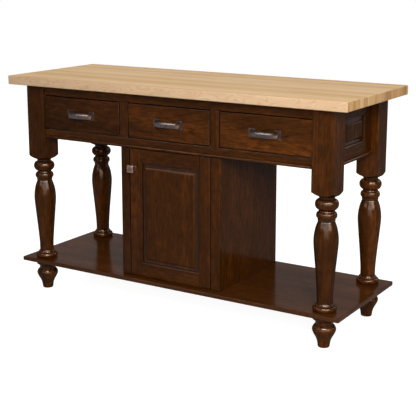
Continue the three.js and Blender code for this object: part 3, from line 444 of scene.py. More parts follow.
def strap_surface(seat):
    """Strap of a drawer pull: along the arch the outer line is (-L cos a, rise sin(a)^p), the inner line
    the same with its own length and rise, and across its height the face is crowned by a share of the
    thickness that grows with the square of the height. The height grows towards both ends."""
    a = np.linspace(0, np.pi, STRAP_ARCH_POINTS)[:, None]
    height = STRAP_HALF_HEIGHT + STRAP_FLARE * np.abs(np.cos(a)) ** STRAP_FLARE_POWER
    outer, inner = ((-length * np.cos(a), rise * np.sin(a) ** STRAP_POWER)
                    for length, rise in (STRAP_OUTER, STRAP_INNER))
    across = np.linspace(-1, 1, STRAP_FACE_POINTS)
    share = np.concatenate([STRAP_CROWN * across**2, STRAP_BACK_SHARES])
    level = np.concatenate([across, STRAP_BACK_LEVEL_SHARES])
    x = outer[0] + (inner[0] - outer[0]) * share
    out = outer[1] + (inner[1] - outer[1]) * share
    rings = np.stack([seat[0] + x, seat[1] - out, seat[2] + height * level], -1)
    worn = (np.abs(np.cos(a)) ** STRAP_WORN_POWER * (1 - STRAP_WORN_FALL * across**2)
            + STRAP_RIM_WORN * across**STRAP_RIM_POWER)
    return loft(rings, np.hstack([-worn, np.zeros((len(a), len(STRAP_BACK_SHARES)))]))


def pull_surfaces(node):
    surfaces = [strap_surface(seat_of(node))]
    for seat in plate_seats(node):
        for step, level in enumerate(PULL_PLATE_LEVELS):
            x, z = np.array(PULL_PLATE) / 2 - step * PULL_PLATE_STEP
            surfaces.append(board(seat - [x, level, z], seat + [x, 0, z], PULL_PLATE_EASE))
    return surfaces


# The knob's half width, corner radius and level above its seat
KNOB_LEVELS = millimetres(
    [11, 1.2, 0], [11, 1.2, 2.0], [10.2, 1.2, 3.0], [8.4, 2, 3.6], [7.0, 3, 5.2], [6.5, 3, 8.0],
    [6.8, 3, 11.5], [8.2, 3, 15.0], [10.8, 2.5, 18.2], [14.0, 2, 21.2], [14.8, 2, 22.2], [15, 2, 23.2],
    [15, 2, 25.8], [14.7, 2, 26.5], [14.0, 1.9, 27.0], [10.0, 1.5, 29.2], [9.4, 1.4, 29.5],
    [8.6, 1.4, 29.75], [3.0, 1.2, 30])
KNOB_FACE_FROM = 0.022
KNOB_RIM_FROM = 0.0098
KNOB_RIM_WORN = 0.8
KNOB_FIELD_WORN = 0.2


def knob_surface(node):
    """Rings of rounded squares: at each level the corner centre (half - corner) plus corner times
    (cos b, sin b), pushed out of the seat towards -Y."""
    seat = seat_of(node)
    half, corner, out = (column[:, None] for column in KNOB_LEVELS.T)
    _, turn, side = corner_turns()
    x = seat[0] + side[:, 0] * (half - corner) + corner * np.cos(turn)
    z = seat[2] + side[:, 1] * (half - corner) + corner * np.sin(turn)
    rings = np.stack([x, np.broadcast_to(seat[1] - out, x.shape), z], -1)
    worn = np.where(half > KNOB_RIM_FROM, KNOB_RIM_WORN, KNOB_FIELD_WORN) * (out > KNOB_FACE_FROM)
    return loft(rings, -worn)


def screw_head(seat):
    """Pan head with a crossed recess, looking towards +Y: height times (1 - (r / radius)^4) on rings round
    the seat, less a cross whose arms are where |x| or |z| is small."""
    ring = np.linspace(1, SCREW_MIDDLE_SHARE, SCREW_RINGS)[:, None]
    turn = np.linspace(0, 2 * np.pi, SCREW_COLUMNS, endpoint=False)
    x, z = SCREW_RADIUS * ring * np.cos(turn), SCREW_RADIUS * ring * np.sin(turn)
    in_arm = (np.minimum(np.abs(x), np.abs(z)) < RECESS_ARM) & (ring < RECESS_SHARE)
    out = SCREW_HEIGHT * (1 - ring**4) - np.where(in_arm, RECESS_DEPTH, 0)
    return loft(np.stack([seat[0] + x, seat[1] + out, seat[2] + z], -1))


# Finishes. A Socket is a node's output; arithmetic on it adds Math nodes to the same finish
class Socket:
    def __init__(self, finish, output):
        self.finish, self.output = finish, output

    def math(self, operation, second=0.0, first=None):
        first = self if first is None else first
        return self.finish.node("ShaderNodeMath", {"operation": operation}, {0: first, 1: second})

    def __add__(self, other):
        return self.math("ADD", other)

    def __sub__(self, other):
        return self.math("SUBTRACT", other)

    def __rsub__(self, other):
        return self.math("SUBTRACT", self, first=other)

    def __mul__(self, other):
        return self.math("MULTIPLY", other)

    def __truediv__(self, other):
        return self.math("DIVIDE", other)

    def __pow__(self, other):
        return self.math("POWER", other)

    __radd__, __rmul__ = __add__, __mul__


def colour(red, green, blue):
    """Linear colour from one written as on a screen, 0 to 255."""
    return tuple((c / 255 / 12.92 if c <= 10 else ((c / 255 + 0.055) / 1.055) ** 2.4)
                 for c in (red, green, blue)) + (1.0,)


class Finish:
    """The nodes of a material or of the world. The node method adds any node: the kind, its settings, which
    are set first, and then the values or links of its sockets."""

    def __init__(self, owner):
        owner.use_nodes = True
        self.owner, self.tree = owner, owner.node_tree
        self.tree.nodes.clear()

    def node(self, kind, settings=None, values=None, output=0):
        made = self.tree.nodes.new(kind)
        for key, value in (settings or {}).items():
            if key == "stops":
                for stop, (place, tint) in enumerate(value):
                    if stop >= len(made.color_ramp.elements):
                        made.color_ramp.elements.new(place)
                    made.color_ramp.elements[stop].position = place
                    made.color_ramp.elements[stop].color = colour(*tint)
            else:
                setattr(made, key, value)
        for key, value in (values or {}).items():
            if isinstance(value, Socket):
                self.tree.links.new(value.output, made.inputs[key])
            else:
                made.inputs[key].default_value = value
        return Socket(self, made.outputs[output] if made.outputs else None)

    def several(self, outputs, kind, values=None):
        """Some outputs of one node."""
        first = self.node(kind, None, values)
        return [Socket(self, first.output.node.outputs[output]) for output in outputs]

    def split(self, vector, axes="XYZ"):
        return self.several(axes, "ShaderNodeSeparateXYZ", {0: vector})

    def joined(self, *parts):
        return self.node("ShaderNodeCombineXYZ", None, dict(enumerate(parts)))

    def object_place(self):
        return self.node("ShaderNodeTexCoord", output="Object")

    def carried(self, name, output="Fac"):
        """What the points of a piece carry under that name."""
        return self.node("ShaderNodeAttribute", {"attribute_name": name}, output=output)

    def seen_ray(self):
        """1 for a ray from the camera, or from it by way of gloss or glass, and 0 for the rest."""
        straight, gloss, glass = self.several(
            ("Is Camera Ray", "Is Glossy Ray", "Is Transmission Ray"), "ShaderNodeLightPath")
        return self.clipped(straight + gloss + glass, 0.0, 1.0)

    def noise(self, vector, factors, detail=2.0, roughness=0.5):
        """Noise between 0 and 1, with factors bumps to the metre on each axis."""
        scaled = self.node("ShaderNodeVectorMath", {"operation": "MULTIPLY"}, {0: vector, 1: factors})
        return self.node("ShaderNodeTexNoise", None, {
            "Vector": scaled, "Scale": 1.0, "Detail": detail, "Roughness": roughness})

    def clipped(self, value, low, high, to_low=0.0, to_high=1.0):
        """Value moved from low..high to to_low..to_high and held there."""
        return self.node("ShaderNodeMapRange", {"clamp": True}, {
            0: value, 1: low, 2: high, 3: to_low, 4: to_high})

    def ramp(self, value, stops):
        return self.node("ShaderNodeValToRGB", {"stops": stops}, {0: value})

    def mixed(self, share, first, second):
        return self.node("ShaderNodeMix", {"data_type": "RGBA"}, {0: share, 6: first, 7: second}, output=2)

    def darkened(self, tint, amount):
        """Colour times 1 - amount."""
        return self.node("ShaderNodeVectorMath", {"operation": "SCALE"}, {0: tint, 3: 1 - amount})

    def bump(self, height, distance, strength):
        return self.node("ShaderNodeBump", None, {
            "Height": height, "Distance": distance, "Strength": strength})

    def surface(self, **values):
        """The shader: sockets by name, with _ for a space."""
        shader = self.node("ShaderNodeBsdfPrincipled", None, {
            key.replace("_", " "): value for key, value in values.items()})
        self.node("ShaderNodeOutputMaterial", None, {"Surface": shader})
        return self.owner


# Figure of the wood. A drift counts bumps to the metre along the grain, across the board and through it
AXES = "xyz"
FIGURE_DRIFT = (1.0, 7, 9)
FIGURE_LINES = 34
ARCH_ROUND = 0.012
ARCH_SLOPE = 0.18
ARCH_WAVE = 0.034
ARCH_DRIFT = (5, 16, 16)
ARCH_SPACING = 0.026
ARCH_DEPTH = 1.7


def grain_place(finish, order):
    """Place in the wood: along the grain, across the board, through it. A new piece carries it on its
    points, and a solid of the part takes it from its own coordinates in the order given."""
    if order is None:
        return finish.carried("grain", "Vector")
    split = finish.split(finish.object_place())
    return finish.joined(*(split[AXES.index(axis)] for axis in order))


def figure(finish, place, lines, drift):
    """Flat-sawn figure: the fraction of a noise drawn out along the grain, so that its level lines close in
    long pointed loops. Each yearly line darkens slowly and ends at once. Lines is how many the noise holds,
    drift its bumps to the metre."""
    phase = (finish.noise(place, drift, detail=1.0, roughness=0.4) * lines).math("FRACT")
    return phase ** 4.0 * finish.clipped(phase, 1.0, 0.9)


def cathedral(finish, place):
    """Nested arches of a flat-sawn drawer front, pointing to the left: level lines of
    sqrt(a^2 + c^2) - s x, with a across the board, x along it and s how far the arches are drawn out, waved
    by a noise."""
    along, across = finish.split(place, "XY")
    wave = finish.noise(place, ARCH_DRIFT)
    reach = (across * across + ARCH_ROUND**2) ** 0.5 - along * ARCH_SLOPE + wave * ARCH_WAVE
    phase = (reach / ARCH_SPACING).math("FRACT")
    return phase ** 9.0 * finish.clipped(phase, 1.0, 0.93) * ARCH_DEPTH


# Stained cherry: colours as on a screen, how much each mark darkens or lightens, the gloss of its lacquer
STAIN_STOPS = ((0.0, (39, 19, 3)), (0.5, (59, 30, 6)), (1.0, (94, 48, 12)))
STAIN_WORN = colour(116, 64, 24)
STAIN_MIDDLE = 0.56
STAIN_SPREAD = 0.16
LINE_SHARE = 0.5
PORE_SHARE = 0.14
FLECK_SHARE = 0.35
GLAZE_AND_SHADE_SHARE = 0.88
WORN_SHARE = 0.25
STAIN_GLOSS = 0.08
SHELF_GLOSS = 0.17
ARRIS_GLOSS = 0.16
BEAD_GLOSS = 0.04
STAIN_BUMP = (0.0001, 0.4)


def stained_wood(name, order=None, gloss=STAIN_GLOSS, arches=False, contrast=0.85):
    """Cherry under a dark brown stain: broad and blotchy tone, fine streaks, yearly lines, short flecks,
    painted shade in hollows and in the gaps between boards, together with a darker glaze left there, a
    lighter colour rubbed off proud edges, and a listed darkening or lightening of some whole boards, partly
    how they took the stain and partly painted shade and painted light."""
    finish = Finish(bpy.data.materials.new(name))
    place = grain_place(finish, order)
    broad = finish.noise(place, (1.3, 9, 9))
    blotch = finish.noise(place, (28, 64, 64), detail=3.0, roughness=0.6)
    streak = finish.noise(place, (7, 170, 170), detail=4.0, roughness=0.65)
    pores = finish.noise(place, (38, 900, 900))
    fleck = finish.clipped(finish.noise(place, (60, 150, 150), detail=1.0), 0.7, 0.77)
    if arches:
        lines = cathedral(finish, place)
    else:
        lines = figure(finish, place, FIGURE_LINES, FIGURE_DRIFT) * finish.clipped(broad, 0.3, 0.55)
    spread = STAIN_SPREAD / contrast
    tone = finish.clipped(broad * 0.42 + blotch * 0.36 + streak * 0.34, STAIN_MIDDLE - spread,
                          STAIN_MIDDLE + spread)
    marks = (lines * (LINE_SHARE * contrast) + finish.clipped(pores, 0.56, 0.72) * PORE_SHARE
             + fleck * (FLECK_SHARE * contrast))
    grained = finish.darkened(finish.ramp(tone, STAIN_STOPS), marks)
    hollow = finish.carried("hollow")
    # Each listed board darker, or lighter for a negative amount: partly how it took the stain, partly painted
    # shade and painted light
    toned_shaded_and_lit = finish.darkened(grained, finish.carried("tone_and_painted_light"))
    # Painted shade in hollows and in the gaps between boards, with a darker glaze left there, and a lighter
    # colour where the finish is rubbed off proud edges
    glazed_and_shaded = finish.darkened(toned_shaded_and_lit, finish.clipped(hollow, 0.0, 1.0) * GLAZE_AND_SHADE_SHARE)
    worn = finish.mixed(finish.clipped(hollow, 0.0, -1.0) * WORN_SHARE, glazed_and_shaded, STAIN_WORN)
    arris = finish.clipped(hollow, 0.1, 0.3) * finish.clipped(hollow, 0.95, 0.75)
    proud = finish.clipped(hollow, -0.35, -0.9)
    return finish.surface(
        Base_Color=worn, Roughness=0.5 + blotch * 0.12, Specular_IOR_Level=0.0,
        Coat_Weight=broad * (gloss * 0.6) + gloss * 0.7 + arris * ARRIS_GLOSS + proud * BEAD_GLOSS,
        Coat_Roughness=0.16, Coat_IOR=1.5,
        Normal=finish.bump(streak * 0.4 + pores * 0.6 - lines * 0.2, *STAIN_BUMP))


# Maple block: its staves, the pith that their rings close round, and the colours of face, edge and end
STAVE_WIDTH = 0.0311
STAVE_SHIFTS = (0.31, 40.7, 91.3)
STAVE_MOVES = (7.0, 5.0, 3.0)
PITH_ACROSS = 0.035
PITH_ACROSS_SPREAD = 0.05
PITH_HEIGHT = 0.896
PITH_HEIGHT_SPREAD = 0.06
RING_WIDTH = 0.0042
RING_WAVE = 0.022
MAPLE_STOPS = ((0.0, (231, 202, 164)), (0.5, (219, 184, 140)), (1.0, (205, 163, 112)))
MAPLE_AMBER = colour(205, 152, 96)
EDGE_PALE, EDGE_DEEP = colour(206, 178, 146), colour(188, 154, 119)
EDGE_SWIRL = colour(180, 124, 84)
SWIRL_DRIFT = (7, 24, 1)
SWIRL_LINES = 13
END_GRAIN_STOPS = ((0.36, (216, 180, 134)), (0.6, (194, 151, 102)), (0.86, (158, 112, 68)))
MAPLE_BUMP = (0.00015, 0.4)


def butcher_block(name):
    """Maple staves on edge, glued side by side: each stave is a plank with its pith some way off, and the
    rings are level lines of the distance to it, waved along the grain. The long edges show one stave's
    curly figure, and the ends show end grain."""
    finish = Finish(bpy.data.materials.new(name))
    along, across, up = finish.split(finish.object_place())
    stave = across / STAVE_WIDTH + 0.5
    number = stave.math("FLOOR")
    chance = [finish.node("ShaderNodeTexWhiteNoise", {"noise_dimensions": "1D"}, {"W": number + shift})
              for shift in STAVE_SHIFTS]
    shifted = finish.joined(*(way + by * move for way, by, move in zip(
        (along, across, up), chance, STAVE_MOVES)))
    wave = finish.noise(shifted, (2.2, 9, 9)) - 0.5
    fine = finish.noise(shifted, (9, 260, 260), detail=4.0, roughness=0.6)
    soft = finish.noise(shifted, (2.4, 34, 34), detail=3.0, roughness=0.55)
    curl = finish.noise(shifted, (70, 24, 24))
    streaks = finish.noise(shifted, (3.5, 80, 80), roughness=0.6)
    sideways = across - number * STAVE_WIDTH + PITH_ACROSS + chance[1] * PITH_ACROSS_SPREAD
    upward = up - PITH_HEIGHT + (chance[2] - 0.5) * PITH_HEIGHT_SPREAD
    distance = (sideways * sideways + upward * upward) ** 0.5 + wave * RING_WAVE
    rings = ((distance * (2 * math.pi / RING_WIDTH)).math("SINE") * 0.5 + 0.5) ** 2.0
    seam = finish.clipped((stave - number - 0.5).math("ABSOLUTE"), 0.485, 0.5)
    tone = finish.clipped(chance[0] * 0.3 + soft * 0.42 + streaks * 0.5 + fine * 0.14, 0.38, 0.94)
    amber = finish.mixed(finish.clipped(soft, 0.6, 0.78) * 0.5, finish.ramp(tone, MAPLE_STOPS), MAPLE_AMBER)
    marked = finish.darkened(amber, rings * 0.07 + seam * 0.16 + finish.clipped(fine, 0.5, 0.75) * 0.07
                             + finish.clipped(curl, 0.55, 0.75) * 0.035)
    normal = finish.node("ShaderNodeNewGeometry", output="Normal")
    faces_x, faces_y = (axis.math("ABSOLUTE") for axis in finish.split(normal, "XY"))
    long_edge = finish.joined(along, up, chance[0])
    swirl = figure(finish, long_edge, SWIRL_LINES, SWIRL_DRIFT)
    pale_edge = finish.mixed(finish.noise(long_edge, (9, 40, 1), detail=3.0), EDGE_PALE, EDGE_DEEP)
    swirled = finish.mixed(swirl * 0.65, pale_edge, EDGE_SWIRL)
    edged = finish.mixed(finish.clipped(faces_y, 0.7, 0.9), marked, swirled)
    end_noise = finish.noise(finish.joined(number, across, up), (1, 75, 5), detail=3.0, roughness=0.7)
    end_grain = finish.ramp(chance[2] * 0.3 + end_noise * 0.9, END_GRAIN_STOPS)
    return finish.surface(
        Base_Color=finish.mixed(finish.clipped(faces_x, 0.7, 0.9), edged, end_grain),
        Roughness=0.42 + soft * 0.12, Specular_IOR_Level=0.0,
        Coat_Weight=0.08, Coat_Roughness=0.3, Coat_IOR=1.5,
        Normal=finish.bump(fine * 0.7 - seam * 0.6, *MAPLE_BUMP))


# Plain woods and metals: the two colours that each one varies between, and the depth and strength of bumps
BOX_COLOURS = colour(214, 186, 142), colour(188, 150, 102)
PLY_COLOURS = colour(219, 194, 154), colour(200, 168, 122)
CATCH_COLOURS = colour(52, 50, 49), colour(44, 42, 41)
BRONZE_COLOURS = colour(58, 52, 50), colour(74, 69, 68)
BRONZE_RUBBED = colour(170, 124, 102)
ZINC_COLOURS = colour(150, 152, 156), colour(190, 191, 192)
BLACKENED_COLOURS = colour(34, 31, 29), colour(52, 47, 44)
PLAIN_DRIFT = (1.4, 10, 12)
PLAIN_LINES = 10
PLAIN_BUMP = (0.00012, 0.4)
BRONZE_BUMP = (0.00002, 0.12)
STEEL_BUMP = (0.00003, 0.4)


def plain_wood(name, order=None, colours=BOX_COLOURS):
    finish = Finish(bpy.data.materials.new(name))
    place = grain_place(finish, order)
    soft = finish.noise(place, (2.0, 24, 24), detail=3.0)
    fine = finish.noise(place, (12, 420, 420), detail=3.0, roughness=0.6)
    lines = figure(finish, place, PLAIN_LINES, PLAIN_DRIFT) ** 3.0
    ground = finish.mixed(finish.clipped(soft * 0.6 + fine * 0.4, 0.3, 0.72), *colours)
    return finish.surface(
        Base_Color=finish.darkened(ground, lines * 0.12 + finish.clipped(fine, 0.58, 0.75) * 0.1),
        Roughness=0.5 + soft * 0.15, Specular_IOR_Level=0.25,
        Normal=finish.bump(fine, *PLAIN_BUMP))


def bronze(name):
    """Dark bronze, rubbed through to copper on proud edges and in soft patches."""
    finish = Finish(bpy.data.materials.new(name))
    place = finish.object_place()
    cloud = finish.noise(place, (95, 95, 95), detail=3.0, roughness=0.6)
    grit = finish.noise(place, (1500, 1500, 1500))
    brushed = finish.noise(place, (40, 900, 1300))
    ground = finish.mixed(finish.clipped(cloud, 0.35, 0.65), *BRONZE_COLOURS)
    rubbed = (finish.clipped(finish.carried("hollow"), 0.0, -1.5) * 0.9
              + finish.clipped(cloud, 0.5, 0.7) * 0.07)
    return finish.surface(
        Base_Color=finish.mixed(rubbed, ground, BRONZE_RUBBED), Metallic=1.0,
        Roughness=0.27 + cloud * 0.07 + brushed * 0.05, Normal=finish.bump(grit + brushed, *BRONZE_BUMP))


def plated_steel(name, colours=ZINC_COLOURS):
    finish = Finish(bpy.data.materials.new(name))
    place = finish.object_place()
    spangle = finish.noise(place, (260, 260, 260))
    scratch = finish.noise(place, (60, 1800, 1800))
    return finish.surface(
        Base_Color=finish.mixed(spangle, *colours), Metallic=1.0,
        Roughness=0.28 + spangle * 0.18, Normal=finish.bump(scratch, *STEEL_BUMP))


stain = stained_wood("stained_cherry")
shelf_stain = stained_wood("stained_cherry_shelf_board", gloss=SHELF_GLOSS, contrast=0.5)
drawer_stain = stained_wood("stained_cherry_drawer_front", arches=True, contrast=0.9)
maple = butcher_block("maple_butcher_block")
box_wood = plain_wood("drawer_box_wood")
rubbed_bronze = bronze("rubbed_bronze")
zinc = plated_steel("zinc_plated_steel")
blackened = plated_steel("blackened_steel", BLACKENED_COLOURS)
catch_black = plain_wood("catch_housing", "xyz", CATCH_COLOURS)


# Objects
WELD_DISTANCE = 1e-6
GRAIN_SPREAD = 9


def new_object(name, data):
    made = bpy.data.objects.new(name, data)
    bpy.context.scene.collection.objects.link(made)
    return made


def piece(name, surfaces, body, finish, grain="x", stands_for=(), tone_and_painted_light=0.0, heart=None):
    """One object from closed skins. Its points carry their place in the wood, along the grain, across the
    wider way and through the board, moved by an amount of the piece's own so that no two boards match, or to
    the heart of its figure where that is given. They also carry how hollow the skin is, which the stain
    paints as shade or wear, and how much darker than the rest the piece is painted: partly how it took the
    stain, partly painted shade and painted light."""
    points, faces, hollows = [], [], []
    for skin, loops, hollow in surfaces:
        start = sum(map(len, points))
        points.append(skin)
        faces += [[start + corner for corner in loop] for loop in loops]
        hollows.append(hollow)
    points = np.concatenate(points)
    mesh = bpy.data.meshes.new(name)
    mesh.from_pydata(points.tolist(), [], faces)
    first = AXES.index(grain)
    spread = np.ptp(points, axis=0)
    order = [first, *sorted((axis for axis in range(3) if axis != first), key=lambda axis: -spread[axis])]
    moved = np.random.default_rng(zlib.crc32(name.encode())).uniform(0, GRAIN_SPREAD, 3)
    if heart is not None:
        moved = -np.asarray(heart)[order]
    for carried, kind, field, values in (
            ("grain", "FLOAT_VECTOR", "vector", points[:, order] + moved),
            ("hollow", "FLOAT", "value", np.concatenate(hollows)),
            ("tone_and_painted_light", "FLOAT", "value", np.full(len(points), tone_and_painted_light))):
        attribute = mesh.attributes.new(carried, kind, "POINT")
        attribute.data.foreach_set(field, values.astype(np.float32).ravel())
    work = bmesh.new()
    work.from_mesh(mesh)
    bmesh.ops.remove_doubles(work, verts=work.verts, dist=WELD_DISTANCE)
    work.to_mesh(mesh)
    work.free()
    mesh.materials.append(finish)
    mesh.shade_smooth()
    mesh.set_sharp_from_angle(angle=math.radians(SHARP_ANGLE))
    made = new_object(name, mesh)
    made.modifiers.new("even_shading", "WEIGHTED_NORMAL").keep_sharp = True
    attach(made, body)
    if stands_for:
        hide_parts(*stands_for)
    return made


# How much darker than the rest some boards are painted, lighter where the amount is negative: partly how each
# board took the stain, partly painted shade and painted light that set how bright each board looks
TONE_AND_PAINTED_LIGHT = {
    "left_drawer_face": 0.3, "right_drawer_face": -0.1,
    "door_left_moulded_stile": 0.25, "door_right_moulded_stile": -0.06,
    "cabinet_left_face_stile": 0.15, "front_bottom_rail_board": 0.05,
    "front_right_turned_leg": 0.16, "right_end_raised_panel": 0.2, "low_shelf_board": -0.2,
}
stained_pieces = bpy.data.collections.new("stained_pieces")


def stained(name, surfaces, grain="x", stands_for=(), body=ISLAND, finish=stain, heart=None):
    made = piece(name, surfaces, body, finish, grain, stands_for,
                 TONE_AND_PAINTED_LIGHT.get(name, 0.0), heart)
    if finish is not shelf_stain:
        stained_pieces.objects.link(made)


# Top, shelf, legs and feet
piece("maple_worktop", [board(*box_of("butcher_block_top"), TOP_EASE)], ISLAND,
      maple, "x", ["butcher_block_top"])
stained("low_shelf_board", [board(*box_of("bottom_shelf"), SHELF_EASE)], "x", ["bottom_shelf"],
        finish=shelf_stain)
leg_base = box_of("bottom_shelf")[1][2] + LAP
leg_half = np.ptp(box_of("front_left_leg"), axis=0)[0] / 2
for corner in CORNERS:
    stained(f"{corner}_turned_leg", [leg_surface(f"{corner}_leg", leg_base)], "z", [f"{corner}_leg"])
    stained(f"{corner}_turned_foot", [foot_surface(f"{corner}_foot", leg_half)], "z", [f"{corner}_foot"])

# Front of the apron
leg_inner = box_of("back_right_leg")[0] - LAP
# Rails and mullions round the drawers take painted shade along their gaps
for node in ("front_top_rail", "front_bottom_rail"):
    low, high = box_of(node)
    stained(f"{node}_board", [
        board([-leg_inner[0], *low[1:]], [leg_inner[0], *high[1:]], GAP_EASE, in_gap=True),
        tenon(FACES["front"](low[1]), [low[0], high[0]], [low[2], high[2]])], "x", [node])
for node in ("left_mullion", "right_mullion"):
    stained(f"{node}_board", [board(*box_of(node), GAP_EASE, in_gap=True)], "z", [node])

# Ends and back of the apron: a stile stands at each end, from the leg to the window, with its tenon in the
# leg. Mullions stand between the panels, and a rail runs below and above them from stile to stile. Panels are
# listed from -X or -Y on. The back's pieces are named as seen from behind, so its right is at -X
for name, face, axis, ends, panels, panel_grain in (
        ("left_end", "left", 1, ("front", "back"), ("left_end",), "z"),
        ("right_end", "right", 1, ("front", "back"), ("right_end",), "z"),
        ("back", "back", 0, ("right", "left"), ("back_right", "back_middle", "back_left"), "x")):
    node = f"{name}_frame"
    low, high = box_of(node)
    heights = low[2], high[2]
    placed = FACES[face]((low if face == "left" else high)[1 - axis])
    windows = [window_of(f"{panel}_panel", axis) for panel in panels]
    first, last = windows[0], windows[-1]
    for end, window, inner, beside, edge in (
            (ends[0], first, first[0], LEFT, low[axis]), (ends[1], last, last[2], RIGHT, high[axis])):
        outer = math.copysign(leg_inner[axis], edge)
        stained(f"{name}_{end}_stile", [
            face_board(placed, [outer, inner], RAIL_DEPTHS, heights),
            tenon(placed, [edge, outer * TENON_ROOT_SHARE], heights),
            sticking(placed, window, beside)], "z", [node])
    for end, before, after in zip(ends, windows, windows[1:]):
        stained(f"{name}_{end}_mullion", [
            face_board(placed, [before[2], after[0]], RAIL_DEPTHS, [before[1], before[3]]),
            sticking(placed, before, RIGHT), sticking(placed, after, LEFT)], "z", [node])
    for level, span, beside in rail_levels(first, *heights):
        stained(f"{name}_{level}_rail", [
            face_board(placed, [first[0], last[2]], RAIL_DEPTHS, span),
            *(sticking(placed, window, beside) for window in windows)], AXES[axis], [node])
    for panel, window in sorted(zip(panels, windows)):
        stained(f"{panel}_raised_panel", [raised_panel(placed, window)], panel_grain, [f"{panel}_panel"])

# Bead mouldings under the apron
for name, axis, outward, grain in (
        ("front", 1, -1, "x"), ("back", 1, 1, "x"), ("left", 0, -1, "y"), ("right", 0, 1, "y")):
    node = f"{name}_bead_moulding"
    stained(f"{name}_nosed_bead", [nosed_strip(*box_of(node), axis, outward)], grain, [node])

# Cabinet stiles: only the side beside the door is in a gap and takes its painted shade
for side, inward in (("left", 1), ("right", -1)):
    node = f"cabinet_{side}_stile"
    low, high = box_of(node)
    points, faces, hollow = board(low, high, STILE_EASE, in_gap=True)
    beside_door = (points[:, 0] - (low[0] + high[0]) / 2) * inward > 0
    stained(f"cabinet_{side}_face_stile", [(points, faces, hollow * beside_door)], "z", [node])

# Door
door_low, door_high = box_of("door_left_stile")[0], box_of("door_right_stile")[1]
placed = FACES["front"](door_low[1])
window = window_of("door_panel", 0)
# Door stiles and rails take painted shade along their gaps
for side, widths, beside in (
        ("left", [door_low[0], window[0]], LEFT), ("right", [window[2], door_high[0]], RIGHT)):
    stained(f"door_{side}_moulded_stile", [
        face_board(placed, widths, DOOR_DEPTHS, [door_low[2], door_high[2]], DOOR_EASE, in_gap=True),
        sticking(placed, window, beside)], "z", [f"door_{side}_stile"], DOOR)
for level, heights, beside in rail_levels(window, door_low[2], door_high[2]):
    stained(f"door_{level}_moulded_rail", [
        face_board(placed, [window[0], window[2]], DOOR_DEPTHS, heights, in_gap=True),
        sticking(placed, window, beside)], "x", [f"door_{level}_rail"], DOOR)
stained("door_raised_panel", [raised_panel(placed, window)], "z", ["door_panel"], DOOR)
piece("door_square_knob", [knob_surface("door_knob")], DOOR, rubbed_bronze, "x", ["door_knob"])

# Drawers: eased front, three box walls, pull and its screws. The heart of the arches on each front is given
# from the front's middle
HEARTS = {"left": (-0.9, 0, 0.14), "middle": (0.35, 0, -0.018), "right": (0.04, 0, -0.014)}
for name in DRAWERS:
    body = f"{name}_drawer"
    front, box, pull = f"{body}_front", f"{body}_box", f"{body}_pull"
    low, high = box_of(front)
    inside = high[1]
    # The front takes painted shade along its gaps
    stained(f"{body}_face", [board(low, high, FRONT_EASE, in_gap=True)], "x", [front], body, drawer_stain,
            (low + high) / 2 + HEARTS[name])
    low, high = box_of(box)
    for wall, grain, wall_low, wall_high in (
            ("left", "y", low, [low[0] + BOX_WALL, high[1], high[2]]),
            ("right", "y", [high[0] - BOX_WALL, low[1], low[2]], high),
            ("back", "x", [low[0] + BOX_WALL - LAP, high[1] - BOX_WALL, low[2]],
             [high[0] - BOX_WALL + LAP, high[1] - LAP, high[2] - BOX_BACK_DROP])):
        piece(f"{body}_{wall}_wall", [board(wall_low, wall_high, BOX_EASE)], body, box_wood,
              grain, [box])
    piece(f"{name}_strap_pull", pull_surfaces(pull), body, rubbed_bronze, "x", [pull])
    piece(f"{name}_pull_screws", [screw_head([x, inside, z]) for x, _, z in plate_seats(pull)], body,
          zinc)

# Catch, its strike plate on the back of the door, and the knob's screw
low, high = box_of("door_catch")
centre_z = (low[2] + high[2]) / 2
piece("magnetic_catch_housing", [board(low + [0, CATCH_SETBACK, 0], high, CATCH_EASE)], ISLAND,
      catch_black, "x", ["door_catch"])
piece("catch_pole_plates", [
    board([low[0] + POLE_INSET, low[1], centre_z + offset - POLE_THICKNESS / 2],
          [high[0] - POLE_INSET, high[1] - POLE_BACK, centre_z + offset + POLE_THICKNESS / 2], POLE_EASE)
    for offset in (-POLE_OFFSET, POLE_OFFSET)], ISLAND, zinc)
door_back = door_low[1] + DOOR_THICKNESS
strike_x = max(low[0], door_low[0]) + STRIKE_MARGIN
piece("catch_strike_plate", [
    board([strike_x, door_back - STRIKE_SINK, centre_z - STRIKE_HEIGHT / 2],
          [strike_x + STRIKE_LENGTH, door_back + STRIKE_PROUD, centre_z + STRIKE_HEIGHT / 2], STRIKE_EASE)],
    DOOR, zinc)
knob_x, _, knob_z = seat_of("door_knob")
piece("knob_screw", [screw_head([knob_x, door_back, knob_z])], DOOR, zinc)

# Solids of the part that stay as they are, each with a finish laid along its own grain
KEPT = (
    (stained_wood("stained_cherry_upright_sides", "zyx", contrast=0.6),
     ("cabinet_left_side", "cabinet_right_side")),
    (stained_wood("stained_cherry_upright_back", "zxy"), ("cabinet_back",)),
    (stained_wood("stained_cherry_shelf", "xyz"), ("cabinet_shelf",)),
    (plain_wood("runner_wood", "yzx"),
     ("left_drawer_partition", "right_drawer_partition", "left_end_runner", "right_end_runner")),
    (plain_wood("drawer_bottom_ply", "xyz", PLY_COLOURS), [f"{name}_drawer_bottom" for name in DRAWERS]),
    (blackened, ("lower_hinge_leaf", "upper_hinge_leaf", "lower_hinge_plate", "upper_hinge_plate")),
)
for finish, nodes in KEPT:
    for node in nodes:
        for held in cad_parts[node].material_slots:
            held.material = finish
        if node.startswith("cabinet_"):
            stained_pieces.objects.link(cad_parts[node])

